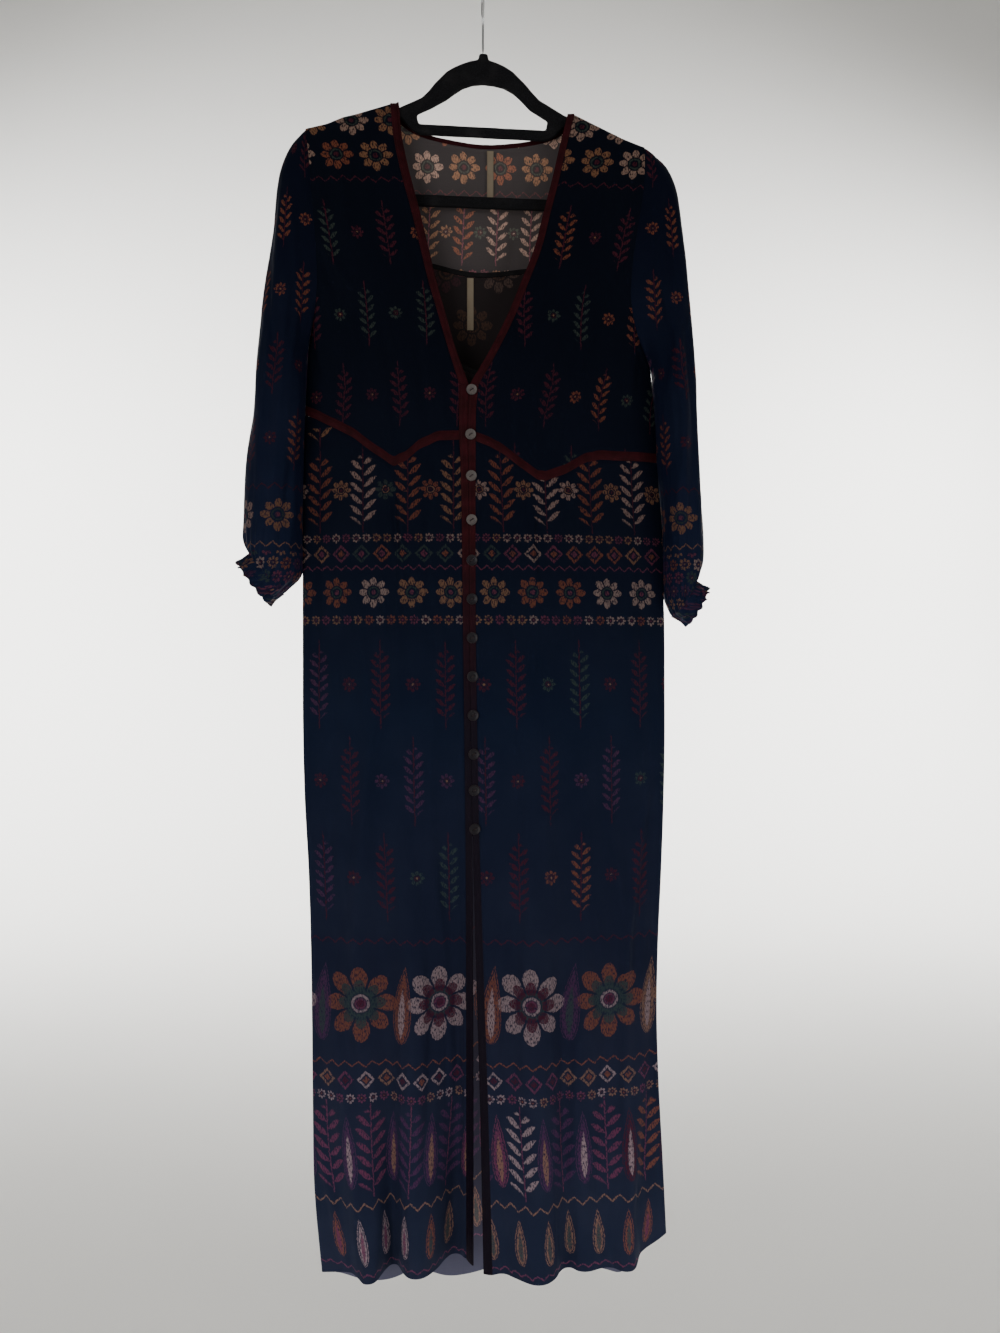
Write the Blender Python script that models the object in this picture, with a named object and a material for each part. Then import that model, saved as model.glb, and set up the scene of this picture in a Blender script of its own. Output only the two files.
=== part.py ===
"""Maxi dress on a flocked hanger.

A long button-front dress of thin printed cloth, with an inner slip, three-quarter bishop sleeves and
a flat flocked hanger that carries it. Everything is one rigid object.

Frame: the origin is the inside top of the hanger hook, +Z is up and the front of the dress faces -Y.
"Left" and "right" are the viewer's. Sizes in the tables are millimetres, and MM turns them to metres.
"""

import math

import bmesh
import bpy
import numpy as np
from mathutils import Vector
from mathutils.bvhtree import BVHTree

MM = 0.001

# ---------------------------------------------------------------- driving sizes

CLOTH = 1.2            # wall of the printed cloth
TRIM = 2.0             # wall of bands and bindings, which stand proud of the cloth
SLIP_CLOTH = 1.0       # wall of the inner slip, its straps and the labels
SEAM_GAP = 0.3         # clear space between two pieces that are sewn together
SIDE_HALF = 0.75       # half the space between the front and back mid surfaces at a side seam
SHOULDER_HALF = 0.38   # the same at the shoulder seam

BAND_WIDTH = 11.0      # empire waist band
BACK_NECK_WIDTH = 6.0  # binding round the back neck
CASING_WIDTH = 9.0     # elastic casing at the wrist
RUFFLE_WIDTH = 9.0     # ruffle beyond the casing
RUFFLE_WAVES = 14
POINTS_PER_WAVE = 4
RUFFLE_SWING = 4.2     # how far a ruffle wave swings from its middle
GATHER_SWING = 1.4     # how far a gather swings beside the casing
WAVE_ROCKING = 0.35    # share of a wave's swing by which its edge rises and falls
SEWN_RING_GAP = 1.2    # between the rims of sleeve, casing and ruffle, so that their gathers clear each other

BUTTON_DIAMETER = 12.0
BUTTON_THICKNESS = 2.4
BUTTON_RIM = 0.5
BUTTON_HOLE = 1.8
BUTTON_HOLE_PITCH = 3.6
BUTTON_SIDES = 16
BUTTON_HOLE_SIDES = 6

HANGER_THICKNESS = 5.5
WIRE_DIAMETER = 3.0
HOOK_INSIDE_RADIUS = 22.0
HOOK_TURN = 186.0      # degrees of the round part
HOOK_STEPS = 14
HOOK_TIP_DROP = 9.0    # how far the tip runs below the middle of the loop
HOOK_TIP_LEAN = 0.5
COLLAR_TOP = -88.5

LABEL_WIDTH = 7.7
LABEL_LENGTH = 61.0
LABEL_ROWS = 6
LABEL_GAP = 0.4

SIDE_STEPS = 3         # rows from the waist seam to the underarm
ARMHOLE_STEPS = 7      # rows from the underarm to just below the shoulder seam
SHOULDER_DROPS = (4.0, 1.2, 0.0)   # the last rows lie this far below the shoulder seam
SHOULDER_COLUMNS = 5   # columns of the back bodice under each shoulder seam
UNDERARM_EASE = 1.6    # the sleeve stands this much further off at the underarm
UNDERARM_EASE_HEIGHT = 60.0
SLEEVE_CLEAR = 3.0     # beyond its seam the sleeve's middle stays this far outside the body's edge
SKIRT_ROWS = 13
SKIRT_ROW_GROWTH = 1.3  # rows lie closer together under the band than at the hem
SLIP_ROWS = 7
SLIP_HEM = -1000.0
SLIP_SIDE_INSET = 14.0
SLIP_SHARE = 0.55      # the slip hangs at this share of the dress's depth
SLIP_SIDE_CALM = 6     # its front and back close this steeply at its side seams
SLIP_BINDING = 6.0
SLIP_BINDING_CLOTH = 1.4
STRAP_WIDTH = 5.0
STRAP_CLOTH = 0.7
STRAP_BELOW_SEAM = 1.9  # its middle lies this far below the cloth's middle where both cross the hanger's arm

# ---------------------------------------------------------------- tables of the dress, in millimetres

# Side outline below the underarm: z, left x, right x.
SIDES = (
    (-436, -201.0, 193.0),
    (-452, -202.5, 196.0),
    (-500, -205.0, 202.0),
    (-578, -208.0, 205.5),
    (-630, -208.5, 211.0),
    (-775, -208.5, 214.5),
    (-925, -208.0, 214.5),
    (-1030, -202.0, 211.0),
    (-1130, -199.0, 206.5),
    (-1190, -198.0, 204.5),
    (-1290, -197.0, 207.0),
    (-1385, -196.0, 212.0),
    (-1455, -193.0, 216.0),
    (-1505, -186.5, 217.0),
)

# Armhole seams from the shoulder tip to the underarm: z, x.
ARMHOLES = {
    "left": ((-184, -205.0), (-222, -200.0), (-258, -197.0), (-315, -191.5),
             (-361, -190.0), (-407, -194.0), (-436, -201.0)),
    "right": ((-193, 190.0), (-230, 188.5), (-257, 186.0), (-295, 179.0),
              (-330, 173.0), (-377, 171.5), (-423, 181.0), (-452, 196.0)),
}

# Shoulder seam from the left tip to the right tip: x, z.
SHOULDERS = (
    (-205, -184.0), (-180, -176.5), (-162, -168.5), (-147, -164.5), (-107.5, -151.5),
    (107.5, -157.5), (132, -169.5), (164, -184.0), (190, -193.0),
)

# How far the cloth stands off the hanger's middle plane, by its distance below the shoulder line:
# distance, front, back.
SHOULDER_ROLL = (
    (0.0, SHOULDER_HALF, SHOULDER_HALF), (1.2, 3.4, 3.4), (4.0, 5.0, 5.0), (12, 6.6, 6.2),
    (40, 10.5, 9.0), (80, 15.0, 12.5), (130, 20.0, 15.5), (200, 27.0, 20.0), (320, 60.0, 60.0),
)

# Fullness of the body at its middle: z, front, back.
FULLNESS = (
    (-150, 9.0, 8.0), (-200, 14.0, 11.0), (-260, 18.0, 13.0), (-340, 23.0, 16.0), (-430, 28.0, 18.0),
    (-545, 31.0, 20.0), (-700, 32.0, 24.0), (-900, 33.0, 28.0), (-1100, 34.0, 31.0),
    (-1300, 34.0, 34.0), (-1540, 34.0, 38.0),
)
FULLNESS_POWER = 2.4
SIDE_CALM = 8            # folds die out this steeply at the side seams
ARMHOLE_HALF_DEPTH = 18.0
ARMHOLE_OPENING = 0.7    # below 1 it opens faster at the underarm
ARMHOLE_ROUNDING = 0.6   # share of the armhole's height over which it opens above the underarm

# Neck bindings, from the point of the V to the shoulder: z, middle x, half width.
NECK_LEFT = (
    (-484, -22.6, 5.3), (-479, -23.8, 4.9), (-452, -33.7, 4.3), (-419, -43.9, 4.2), (-384, -53.0, 4.2),
    (-352, -62.7, 4.2), (-326, -68.4, 4.1), (-295, -75.3, 4.1), (-246, -88.6, 4.1), (-204, -98.4, 4.0),
    (-151, -103.5, 4.0),
)
NECK_RIGHT = (
    (-484, -11.4, 5.3), (-475, -7.2, 5.0), (-460, 2.6, 4.8), (-438, 14.4, 4.7), (-410, 28.4, 4.5),
    (-384, 38.6, 4.4), (-354, 51.0, 4.3), (-323, 62.6, 4.1), (-282, 72.9, 4.1), (-247, 82.0, 4.1),
    (-192, 94.6, 4.0), (-156, 103.5, 4.0),
)
NECK_POINT = -484.0

# Front bindings from the point of the V to the hem: z, left strip (outer, edge), right strip (edge, outer).
# They meet edge to edge as far as the last button, and the slit opens below it.
FRONT_EDGES = (
    (-484, -28.0, -17.2, -16.8, -6.0),
    (-518, -29.0, -19.0, -18.6, -9.8),
    (-542, -28.4, -18.8, -18.4, -9.6),
    (-593, -26.0, -17.8, -17.4, -9.8),
    (-718, -24.6, -17.2, -16.8, -9.8),
    (-793, -23.6, -16.9, -16.5, -9.4),
    (-989, -21.2, -13.9, -13.5, -6.0),
    (-1100, -20.6, -13.2, -10.8, -2.6),
    (-1297, -20.2, -12.8, -5.0, 4.0),
    (-1510, -20.2, -12.8, -0.6, 9.8),
)

# Middle of the waist band: x, z. It dips to a point below each bust.
WAIST_LEFT = (
    (-206, -508.5), (-193, -514.0), (-180, -521.0), (-166, -528.0), (-148, -538.0), (-127, -554.5),
    (-103, -571.0), (-89, -565.5), (-73, -552.5), (-52, -543.0), (-28.4, -541.5),
)
WAIST_RIGHT = (
    (-9.6, -543.0), (5, -548.5), (20, -556.5), (40, -571.5), (60, -585.5), (70, -586.5), (93, -578.0),
    (116, -564.5), (134, -560.0), (159, -559.8), (182, -559.0), (204, -559.0),
)
WAIST_BACK = ((-206, -508.5), (-100, -528.0), (0, -541.0), (100, -553.0), (204, -559.0))

# Hem: x, z. The back hangs longer than the front.
HEM_FRONT = ((-186, -1505.0), (-150, -1498.0), (0, -1497.0), (172, -1497.0), (195, -1486.0), (217, -1473.0))
HEM_BACK = ((-186, -1505.0), (-150, -1526.0), (-60, -1534.0), (60, -1535.0), (165, -1528.0), (217, -1473.0))

# Folds that open towards the hem: where each starts (x, z), x at the hem, half width, depth at the hem.
# A positive depth is a ridge and a negative one a trough.
FRONT_FOLDS = (
    (-198, -1040, -131, 13.0, 27.0),
    (-122, -900, -104, 11.0, -28.0),
    (-84, -760, -78, 13.0, 8.0),
    (-40, -820, -32, 21.0, -50.0),
    (24, -900, 21, 9.0, -8.0),
    (52, -760, 62, 23.0, 23.0),
    (92, -850, 94, 9.0, -17.0),
    (118, -800, 117, 12.0, 6.0),
    (198, -980, 167, 12.0, 25.0),
    (206, -1000, 189, 9.0, -14.0),
)
BACK_FOLDS = (
    (-165, -760, -160, 16.0, 11.0),
    (-116, -700, -118, 15.0, -9.0),
    (-72, -640, -76, 17.0, 13.0),
    (-26, -700, -28, 16.0, -10.0),
    (22, -660, 20, 18.0, 12.0),
    (70, -720, 72, 15.0, -9.0),
    (118, -680, 122, 17.0, 12.0),
    (160, -760, 166, 12.0, -6.0),
)
FOLD_GROWTH = 1.3
FOLD_HEM = {"front": -1500.0, "back": -1530.0}   # where the folds have their full depth
HEM_LEVEL = -1500.0    # where a skirt's columns take their place along the hem

# Short pleats that spring from the waist seam and die out below it: x, z, length, half width, depth.
FRONT_PLEATS = (
    (-150, -540, 120, 7.0, 2.2),
    (-99, -571, 130, 7.0, -3.4),
    (-76, -556, 100, 6.5, 2.4),
    (-52, -545, 95, 6.5, -2.0),
    (24, -560, 95, 6.5, 2.2),
    (44, -575, 100, 6.5, -2.0),
    (66, -587, 130, 7.0, -3.4),
    (96, -578, 110, 7.0, 2.4),
)
PLEAT_EARLINESS = 0.6    # below 1 a pleat is deepest nearer to the seam
# The same above the band, where the bust fills the bodice: a soft rise over each point.
BUST = ((-88, -500, 46.0, 62.0, 4.5), (58, -508, 46.0, 62.0, 4.5))

# Sleeves, from the armhole to the casing: outer x, z, inner x, z, half depth.
SLEEVES = {
    "left": (
        (-213.0, -190.0, -206.5, -448.0, 20.0),
        (-222.0, -202.0, -209.2, -460.0, 24.0),
        (-231.5, -223.0, -210.6, -474.0, 29.0),
        (-238.0, -251.0, -211.0, -490.0, 34.0),
        (-243.5, -304.0, -211.0, -512.0, 38.0),
        (-250.0, -360.0, -211.0, -536.0, 40.0),
        (-256.5, -424.0, -211.0, -562.0, 41.0),
        (-262.5, -480.0, -211.0, -592.0, 40.0),
        (-269.0, -539.0, -211.0, -624.0, 39.0),
        (-272.5, -595.0, -211.0, -655.0, 38.0),
        (-275.0, -640.0, -212.0, -684.0, 37.0),
        (-277.0, -662.0, -217.0, -706.0, 34.0),
        (-267.5, -674.0, -231.5, -720.5, 28.0),
    ),
    "right": (
        (198.0, -196.5, 199.5, -464.0, 20.0),
        (207.0, -203.0, 204.0, -476.0, 24.0),
        (218.5, -216.5, 207.5, -490.0, 29.0),
        (227.5, -238.0, 208.6, -506.0, 34.0),
        (234.0, -290.0, 209.6, -528.0, 38.0),
        (241.0, -358.0, 211.0, -552.0, 40.0),
        (246.5, -418.0, 212.6, -578.0, 41.0),
        (251.0, -478.0, 214.4, -608.0, 40.0),
        (253.0, -540.0, 216.4, -640.0, 39.0),
        (256.5, -596.0, 218.0, -676.0, 38.0),
        (259.0, -650.0, 218.0, -710.0, 37.0),
        (259.0, -688.0, 219.0, -733.0, 34.0),
        (248.5, -703.0, 224.5, -745.0, 28.0),
    ),
}
# The one long crease down each sleeve: place across the front (0 inner, 1 outer), depth, first and last row.
CREASE_HALF_WIDTH = 0.12
SLEEVE_CREASES = {"left": (0.62, 7.0, 2, 9), "right": (0.66, 8.0, 1, 10)}

# Back neckline where the binding is sewn on: x, z.
BACK_NECK = (
    (-107.5, -151.5), (-105.0, -155.5), (-101.0, -164.0), (-94, -172.0), (-80, -181.0), (-60, -187.5),
    (-30, -193.0), (0, -196.0), (32, -194.0), (60, -189.5), (80, -184.0), (94, -176.0), (101.0, -169.0),
    (105.0, -161.5), (107.5, -157.5),
)

# Top edge of the slip, under its binding: x, z.
SLIP_TOP_FRONT = (
    (-187, -446), (-150, -425), (-104, -396), (-94, -397), (-74, -430), (-48, -456), (-25, -463),
    (-6, -470), (16, -471), (48, -457), (76, -432), (94, -399), (104, -398), (150, -434), (181, -458),
)
SLIP_TOP_BACK = (
    (-187, -446), (-150, -398), (-104, -334), (-94, -334), (-62, -337), (-31, -344), (-4, -347),
    (23, -345), (53, -341), (80, -338), (94, -335), (104, -335), (150, -405), (181, -458),
)
STRAP_ANCHOR = 99.0    # where a strap meets the slip
STRAP_OVER_ARM = 113.0  # where it lies over the hanger's arm

# The strap's way over the arm: y, distance below its top.
STRAP_OVER = ((-3.6, 14.0), (-3.5, 5.0), (-2.9, 1.3), (-1.2, 0.0),
              (1.2, 0.0), (2.9, 1.3), (3.5, 5.0), (3.6, 14.0))

# Buttons down the front: height of each.
BUTTON_HEIGHTS = (-490, -541, -588, -638, -684, -728, -772, -816, -860, -904, -945, -989)
BUTTON_FROM_EDGE = 3.0  # the middle of a button lies this far inside the right strip's edge

# Hanger outline, clockwise from the collar, and its two windows: x, z.
HANGER_OUTLINE = (
    (-4.9, COLLAR_TOP), (5.9, COLLAR_TOP), (6.3, -95.8), (15.2, -98.4), (25.4, -102.6), (34.8, -108.4),
    (50.4, -123.4), (58.0, -132.4), (65.9, -140.6), (81.6, -149.8), (96.0, -158.2), (109.0, -161.6),
    (132.0, -172.0), (164.0, -186.4), (190.0, -195.6), (203.0, -203.4), (213.5, -216.0), (221.0, -236.0),
    (222.5, -256.0), (216.0, -272.4), (-221.0, -266.8), (-228.0, -252.0), (-227.0, -232.0),
    (-219.5, -210.0), (-206.0, -188.6), (-180.0, -179.0), (-162.0, -171.0), (-147.0, -167.0),
    (-109.0, -155.2), (-98.0, -154.8), (-84.0, -148.2), (-71.6, -142.2), (-63.0, -133.6),
    (-56.3, -125.0), (-42.8, -111.0), (-33.0, -105.0), (-23.4, -100.7), (-14.0, -97.4), (-5.2, -95.8),
)
HANGER_UPPER_WINDOW = (
    (-0.2, -125.0), (-12.0, -126.4), (-23.4, -130.4), (-33.0, -137.0), (-42.8, -144.4), (-60.0, -154.4),
    (-77.0, -162.4), (-75.0, -172.9), (73.7, -176.1), (75.4, -165.4), (54.3, -152.8), (44.0, -142.0),
    (34.8, -134.2), (24.0, -128.6), (12.0, -126.0),
)
HANGER_LOWER_WINDOW = (
    (0.0, -187.0), (-74.0, -185.4), (-82.0, -181.0), (-95.0, -168.0), (-109.0, -168.0), (-147.0, -180.0),
    (-180.0, -192.0), (-202.0, -202.0), (-212.0, -218.0), (-213.5, -244.0), (-206.0, -253.0),
    (205.0, -258.6), (209.5, -250.0), (208.0, -230.0), (200.0, -214.0), (186.0, -207.0),
    (160.0, -198.0), (132.0, -185.6), (108.0, -175.0), (96.0, -171.0), (83.0, -184.4), (73.0, -188.6),
)
HANGER_ROUNDING = 1.5

# Hook wire in the plane that looks along X: y, z of the stem below the loop.
HOOK_STEM = ((0.0, COLLAR_TOP + SEAM_GAP), (0.0, -76.0), (0.0, -64.0), (-1.5, -54.0), (-7.0, -45.5),
             (-15.0, -38.0), (-21.0, -30.0))

COLOURS = {
    "cloth": ((0.010, 0.012, 0.024), 0.80, 0.0),
    "trim": ((0.095, 0.012, 0.016), 0.75, 0.0),
    "slip": ((0.014, 0.014, 0.024), 0.80, 0.0),
    "label": ((0.640, 0.600, 0.500), 0.85, 0.0),
    "button": ((0.520, 0.500, 0.440), 0.25, 0.0),
    "flock": ((0.008, 0.008, 0.009), 0.95, 0.0),
    "wire": ((0.620, 0.620, 0.600), 0.25, 1.0),
}


# ---------------------------------------------------------------- helpers

def read(table, at, column=1):
    """Value of a table's column where its first column equals `at`, in straight steps."""
    rows = sorted(table)
    return float(np.interp(at, [row[0] for row in rows], [row[column] for row in rows]))


def mix(a, b, share):
    return a + (b - a) * share


def finish(kind):
    """Material of one kind of piece."""
    colour, roughness, metallic = COLOURS[kind]
    material = bpy.data.materials.get(kind) or bpy.data.materials.new(kind)
    material.use_nodes = True
    shader = material.node_tree.nodes["Principled BSDF"]
    shader.inputs["Base Color"].default_value = (*colour, 1.0)
    shader.inputs["Roughness"].default_value = roughness
    shader.inputs["Metallic"].default_value = metallic
    return material


def add_object(name, mesh, kind):
    """Link a finished mesh as one named piece."""
    mesh.materials.append(finish(kind))
    piece = bpy.data.objects.new(name, mesh)
    bpy.context.scene.collection.objects.link(piece)
    return piece


BORDERS = {
    "first row": (0, slice(None)),
    "last row": (-1, slice(None)),
    "first column": (slice(None), 0),
    "last column": (slice(None), -1),
}
ACROSS, UP = (1.0, 0.0, 0.0), (0.0, 0.0, 1.0)
UPRIGHT_SEAMS = (("first column", ACROSS), ("last column", ACROSS))
LEVEL_SEAMS = (("first row", UP), ("last row", UP))


def normals_of(grid, closed):
    """Unit normals of a grid of points, rows by columns by xyz."""
    if closed:
        wide = np.concatenate([grid[:, -1:], grid, grid[:, :1]], axis=1)
        across = wide[:, 2:] - wide[:, :-2]
    else:
        across = np.gradient(grid, axis=1)
    along = np.gradient(grid, axis=0)
    normals = np.cross(across, along)
    return normals / np.linalg.norm(normals, axis=2, keepdims=True)


def wall(name, grid, thickness, kind, closed=False, squared=()):
    """One closed wall round a grid of middle points. A closed grid wraps its last column to its first.

    squared lists the borders whose thickness stands square to a seam: (border, direction in which it may not
    lean, or one direction for each of its points).
    """
    grid = np.asarray(grid, dtype=float)
    rows, columns = grid.shape[:2]
    normals = normals_of(grid, closed)
    for border, direction in squared:
        edge = normals[BORDERS[border]]
        lean = np.broadcast_to(direction, edge.shape)
        normals[BORDERS[border]] = edge - lean * np.sum(edge * lean, axis=1, keepdims=True)
    normals /= np.linalg.norm(normals, axis=2, keepdims=True)
    offset = normals * (thickness / 2)
    bm = bmesh.new()
    faces_of = []
    for side in (grid + offset, grid - offset):
        faces_of.append([[bm.verts.new(Vector(point) * MM) for point in row] for row in side])
    outer, inner = faces_of
    last = columns if closed else columns - 1
    for r in range(rows - 1):
        for c in range(last):
            d = (c + 1) % columns
            bm.faces.new((outer[r][c], outer[r][d], outer[r + 1][d], outer[r + 1][c]))
            bm.faces.new((inner[r][c], inner[r + 1][c], inner[r + 1][d], inner[r][d]))
    for r, flip in ((0, False), (rows - 1, True)):
        for c in range(last):
            d = (c + 1) % columns
            rim = [outer[r][c], inner[r][c], inner[r][d], outer[r][d]]
            bm.faces.new(rim[::-1] if flip else rim)
    if not closed:
        for c, flip in ((0, True), (columns - 1, False)):
            for r in range(rows - 1):
                rim = [outer[r][c], inner[r][c], inner[r + 1][c], outer[r + 1][c]]
                bm.faces.new(rim[::-1] if flip else rim)
    bmesh.ops.recalc_face_normals(bm, faces=bm.faces)
    mesh = bpy.data.meshes.new(name)
    bm.to_mesh(mesh)
    bm.free()
    mesh.shade_smooth()
    mesh.set_sharp_from_angle(angle=math.radians(50))
    return add_object(name, mesh, kind)


def touch(piece, x, z, towards):
    """Y of the piece's surface at (x, z), met by a ray that runs towards +Y (1) or -Y (-1)."""
    tree = BVHTree.FromPolygons([v.co for v in piece.data.vertices], [p.vertices for p in piece.data.polygons])
    hit = tree.ray_cast(Vector((x * MM, -towards, z * MM)), Vector((0, towards, 0)))[0]
    return hit.y / MM


# ---------------------------------------------------------------- form of the body

def tip(side):
    return ARMHOLES[side][0]


def underarm(side):
    return ARMHOLES[side][-1]


def side_x(side, z):
    """Outer edge of a body panel: the side seam, then the armhole up to the shoulder tip."""
    if z < underarm(side)[0]:
        return read(SIDES, z, 1 if side == "left" else 2)
    return read(ARMHOLES[side], z)


def edge_depth(side, z):
    """Half depth of the body at its outer edge: closed at the side seam, open round the armhole."""
    low, high = underarm(side)[0], tip(side)[0]
    share = max(0.0, min(1.0, (z - low) / (high - low) / ARMHOLE_ROUNDING))
    return mix(SIDE_HALF, ARMHOLE_HALF_DEPTH, math.sin(math.pi / 2 * share) ** ARMHOLE_OPENING)


def fold_depth(folds, x, z, hem):
    """Sum of the long folds at (x, z)."""
    total = 0.0
    for start_x, start_z, hem_x, half_width, depth in folds:
        grown = (start_z - z) / (start_z - hem)
        if grown > 0:
            middle = mix(start_x, hem_x, grown)
            total += depth * grown ** FOLD_GROWTH * math.exp(-((x - middle) / half_width) ** 2)
    return total


def pleat_depth(x, z):
    """Sum of the short pleats below the waist band and of the bust above it."""
    total = 0.0
    for start_x, start_z, length, half_width, depth in FRONT_PLEATS:
        share = (start_z - BAND_WIDTH / 2 - z) / length
        if 0 < share < 1:
            along = math.sin(math.pi * share ** PLEAT_EARLINESS)
            total += depth * along * math.exp(-((x - start_x) / half_width) ** 2)
    for middle_x, middle_z, half_x, half_z, rise in BUST:
        total += rise * math.exp(-((x - middle_x) / half_x) ** 2 - ((z - middle_z) / half_z) ** 2)
    return total


def body_depth(x, z, face):
    """Distance of the cloth's middle surface from the plane y = 0, on the front or the back."""
    column = 1 if face == "front" else 2
    left, right = side_x("left", z), side_x("right", z)
    across = max(-1.0, min(1.0, (2 * x - left - right) / (right - left)))
    edge = edge_depth("left" if across < 0 else "right", z)
    full = read(FULLNESS, z, column)
    depth = edge + (full - edge) * (1 - abs(across) ** FULLNESS_POWER)
    calm = 1 - abs(across) ** SIDE_CALM
    if face == "front":
        depth += calm * (fold_depth(FRONT_FOLDS, x, z, FOLD_HEM["front"]) + pleat_depth(x, z))
    else:
        depth += calm * fold_depth(BACK_FOLDS, x, z, FOLD_HEM["back"])
    return min(depth, read(SHOULDER_ROLL, read(SHOULDERS, x) - z, column))


def on_body(x, z, face, proud=0.0):
    """Point of the front or back surface, moved out by `proud`."""
    depth = body_depth(x, z, face) + proud
    return (x, -depth if face == "front" else depth, z)


PROUD = (TRIM - CLOTH) / 2   # a trim's middle surface, with its inner face flush with the cloth's


# ---------------------------------------------------------------- rows and columns shared by the panels

def halved(table):
    """The table's rows with one more half way along each step."""
    dense = [table[0]]
    for before, after in zip(table, table[1:]):
        dense += [tuple((a + b) / 2 for a, b in zip(before, after)), after]
    return dense


def outer_rows(side):
    """Heights down a bodice's outer edge, from the waist seam up to the shoulder tip."""
    seam = (WAIST_LEFT[0] if side == "left" else WAIST_RIGHT[-1])[1] + BAND_WIDTH / 2 + SEAM_GAP
    low, high = underarm(side)[0], tip(side)[0]
    rows = list(np.linspace(seam, low, SIDE_STEPS + 1))
    rows += list(np.linspace(low, high - SHOULDER_DROPS[0], ARMHOLE_STEPS + 1))[1:]
    return rows + [high - drop for drop in SHOULDER_DROPS[1:]]


def skirt_rows(hem, seam):
    """Heights of a skirt's rows, from the hem up to the waist seam."""
    shares = (k / SKIRT_ROWS for k in range(SKIRT_ROWS, -1, -1))
    return [mix(seam, hem, share ** SKIRT_ROW_GROWTH) for share in shares]


def inner_rows(seam, top):
    """Heights up a front bodice's inner edge, with a row at the point of the V."""
    rows = list(np.linspace(seam, NECK_POINT, SIDE_STEPS))
    rows += list(np.linspace(NECK_POINT, top - SHOULDER_DROPS[0], ARMHOLE_STEPS + 2))[1:]
    return rows + [top - drop for drop in SHOULDER_DROPS[1:]]


def inner_x(side, z):
    """Where a front panel meets its binding: beside the front strip, then beside the neck binding."""
    sign = -1 if side == "left" else 1
    if z <= NECK_POINT:
        return read(FRONT_EDGES, z, 1 if side == "left" else 4) + sign * SEAM_GAP
    table = NECK_LEFT if side == "left" else NECK_RIGHT
    return read(table, z) + sign * (read(table, z, 2) + SEAM_GAP)


# ---------------------------------------------------------------- bodice, band and skirt

def front_columns(side):
    """Share of the way from the outer edge to the inner edge, and the band's height, at each column."""
    table = WAIST_LEFT if side == "left" else WAIST_RIGHT[::-1]
    rows = halved(table)
    first, last = rows[0][0], rows[-1][0]
    return [((x - first) / (last - first), z) for x, z in rows]


def front_grid(side, heights_at, proud=0.0):
    """Grid of a front panel. heights_at(share, band z) gives the heights of one column, bottom to top."""
    columns = []
    for share, band_z in front_columns(side):
        column = []
        for z in heights_at(share, band_z):
            x = mix(side_x(side, z), inner_x(side, z), share)
            column.append(on_body(x, z, "front", proud))
        columns.append(column)
    return np.array(columns).transpose(1, 0, 2)


def make_front_bodice(side):
    outer = outer_rows(side)
    band_inner = front_columns(side)[-1][1]
    neck_x = inner_x(side, (NECK_LEFT if side == "left" else NECK_RIGHT)[-1][0])
    inner = inner_rows(band_inner + BAND_WIDTH / 2 + SEAM_GAP, read(SHOULDERS, neck_x))

    def heights(share, band_z):
        bottom = band_z + BAND_WIDTH / 2 + SEAM_GAP
        top = read(SHOULDERS, mix(tip(side)[1], neck_x, share))
        column = []
        for k in range(len(outer) - len(SHOULDER_DROPS) + 1):
            up_outer = (outer[k] - outer[0]) / (outer[-3] - outer[0])
            up_inner = (inner[k] - inner[0]) / (inner[-3] - inner[0])
            column.append(mix(bottom, top - SHOULDER_DROPS[0], mix(up_outer, up_inner, share)))
        return column + [top - drop for drop in SHOULDER_DROPS[1:]]

    wall(f"front_bodice_{side}", front_grid(side, heights), CLOTH, "cloth",
         squared=UPRIGHT_SEAMS + LEVEL_SEAMS[:1])
    return inner


def make_front_band(side):
    half = BAND_WIDTH / 2
    grid = front_grid(side, lambda share, z: (z - half, z, z + half), PROUD)
    wall(f"waist_band_{side}", grid, TRIM, "trim", squared=UPRIGHT_SEAMS + LEVEL_SEAMS)


def make_front_skirt(side):
    def heights(share, band_z):
        top = band_z - BAND_WIDTH / 2 - SEAM_GAP
        x = mix(side_x(side, HEM_LEVEL), inner_x(side, HEM_LEVEL), share)
        return skirt_rows(read(HEM_FRONT, x), top)

    wall(f"front_skirt_{side}", front_grid(side, heights), CLOTH, "cloth", squared=UPRIGHT_SEAMS + LEVEL_SEAMS)


def back_grid(shares, heights_at, proud=0.0):
    """Grid of a back panel over shares of the way from the left edge to the right edge."""
    columns = []
    for share in shares:
        column = []
        for z in heights_at(share):
            x = mix(side_x("left", z), side_x("right", z), share)
            column.append(on_body(x, z, "back", proud))
        columns.append(column)
    return np.array(columns).transpose(1, 0, 2)


def back_top_columns():
    """Columns of the back bodice along its top edge: share across, height."""
    left, right = tip("left"), tip("right")
    steps = SHOULDER_COLUMNS + 1
    points = [(x, read(SHOULDERS, x)) for x in np.linspace(left[1], BACK_NECK[0][0], steps)[:-1]]
    points += [tuple(point) for point in back_neck_line(-SEAM_GAP)]
    points += [(x, read(SHOULDERS, x)) for x in np.linspace(BACK_NECK[-1][0], right[1], steps)[1:]]
    return [((x - left[1]) / (right[1] - left[1]), z) for x, z in points]


def band_back_z(share):
    return read(WAIST_BACK, mix(WAIST_BACK[0][0], WAIST_BACK[-1][0], share))


def back_shares():
    return [share for share, _ in back_top_columns()]


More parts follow.
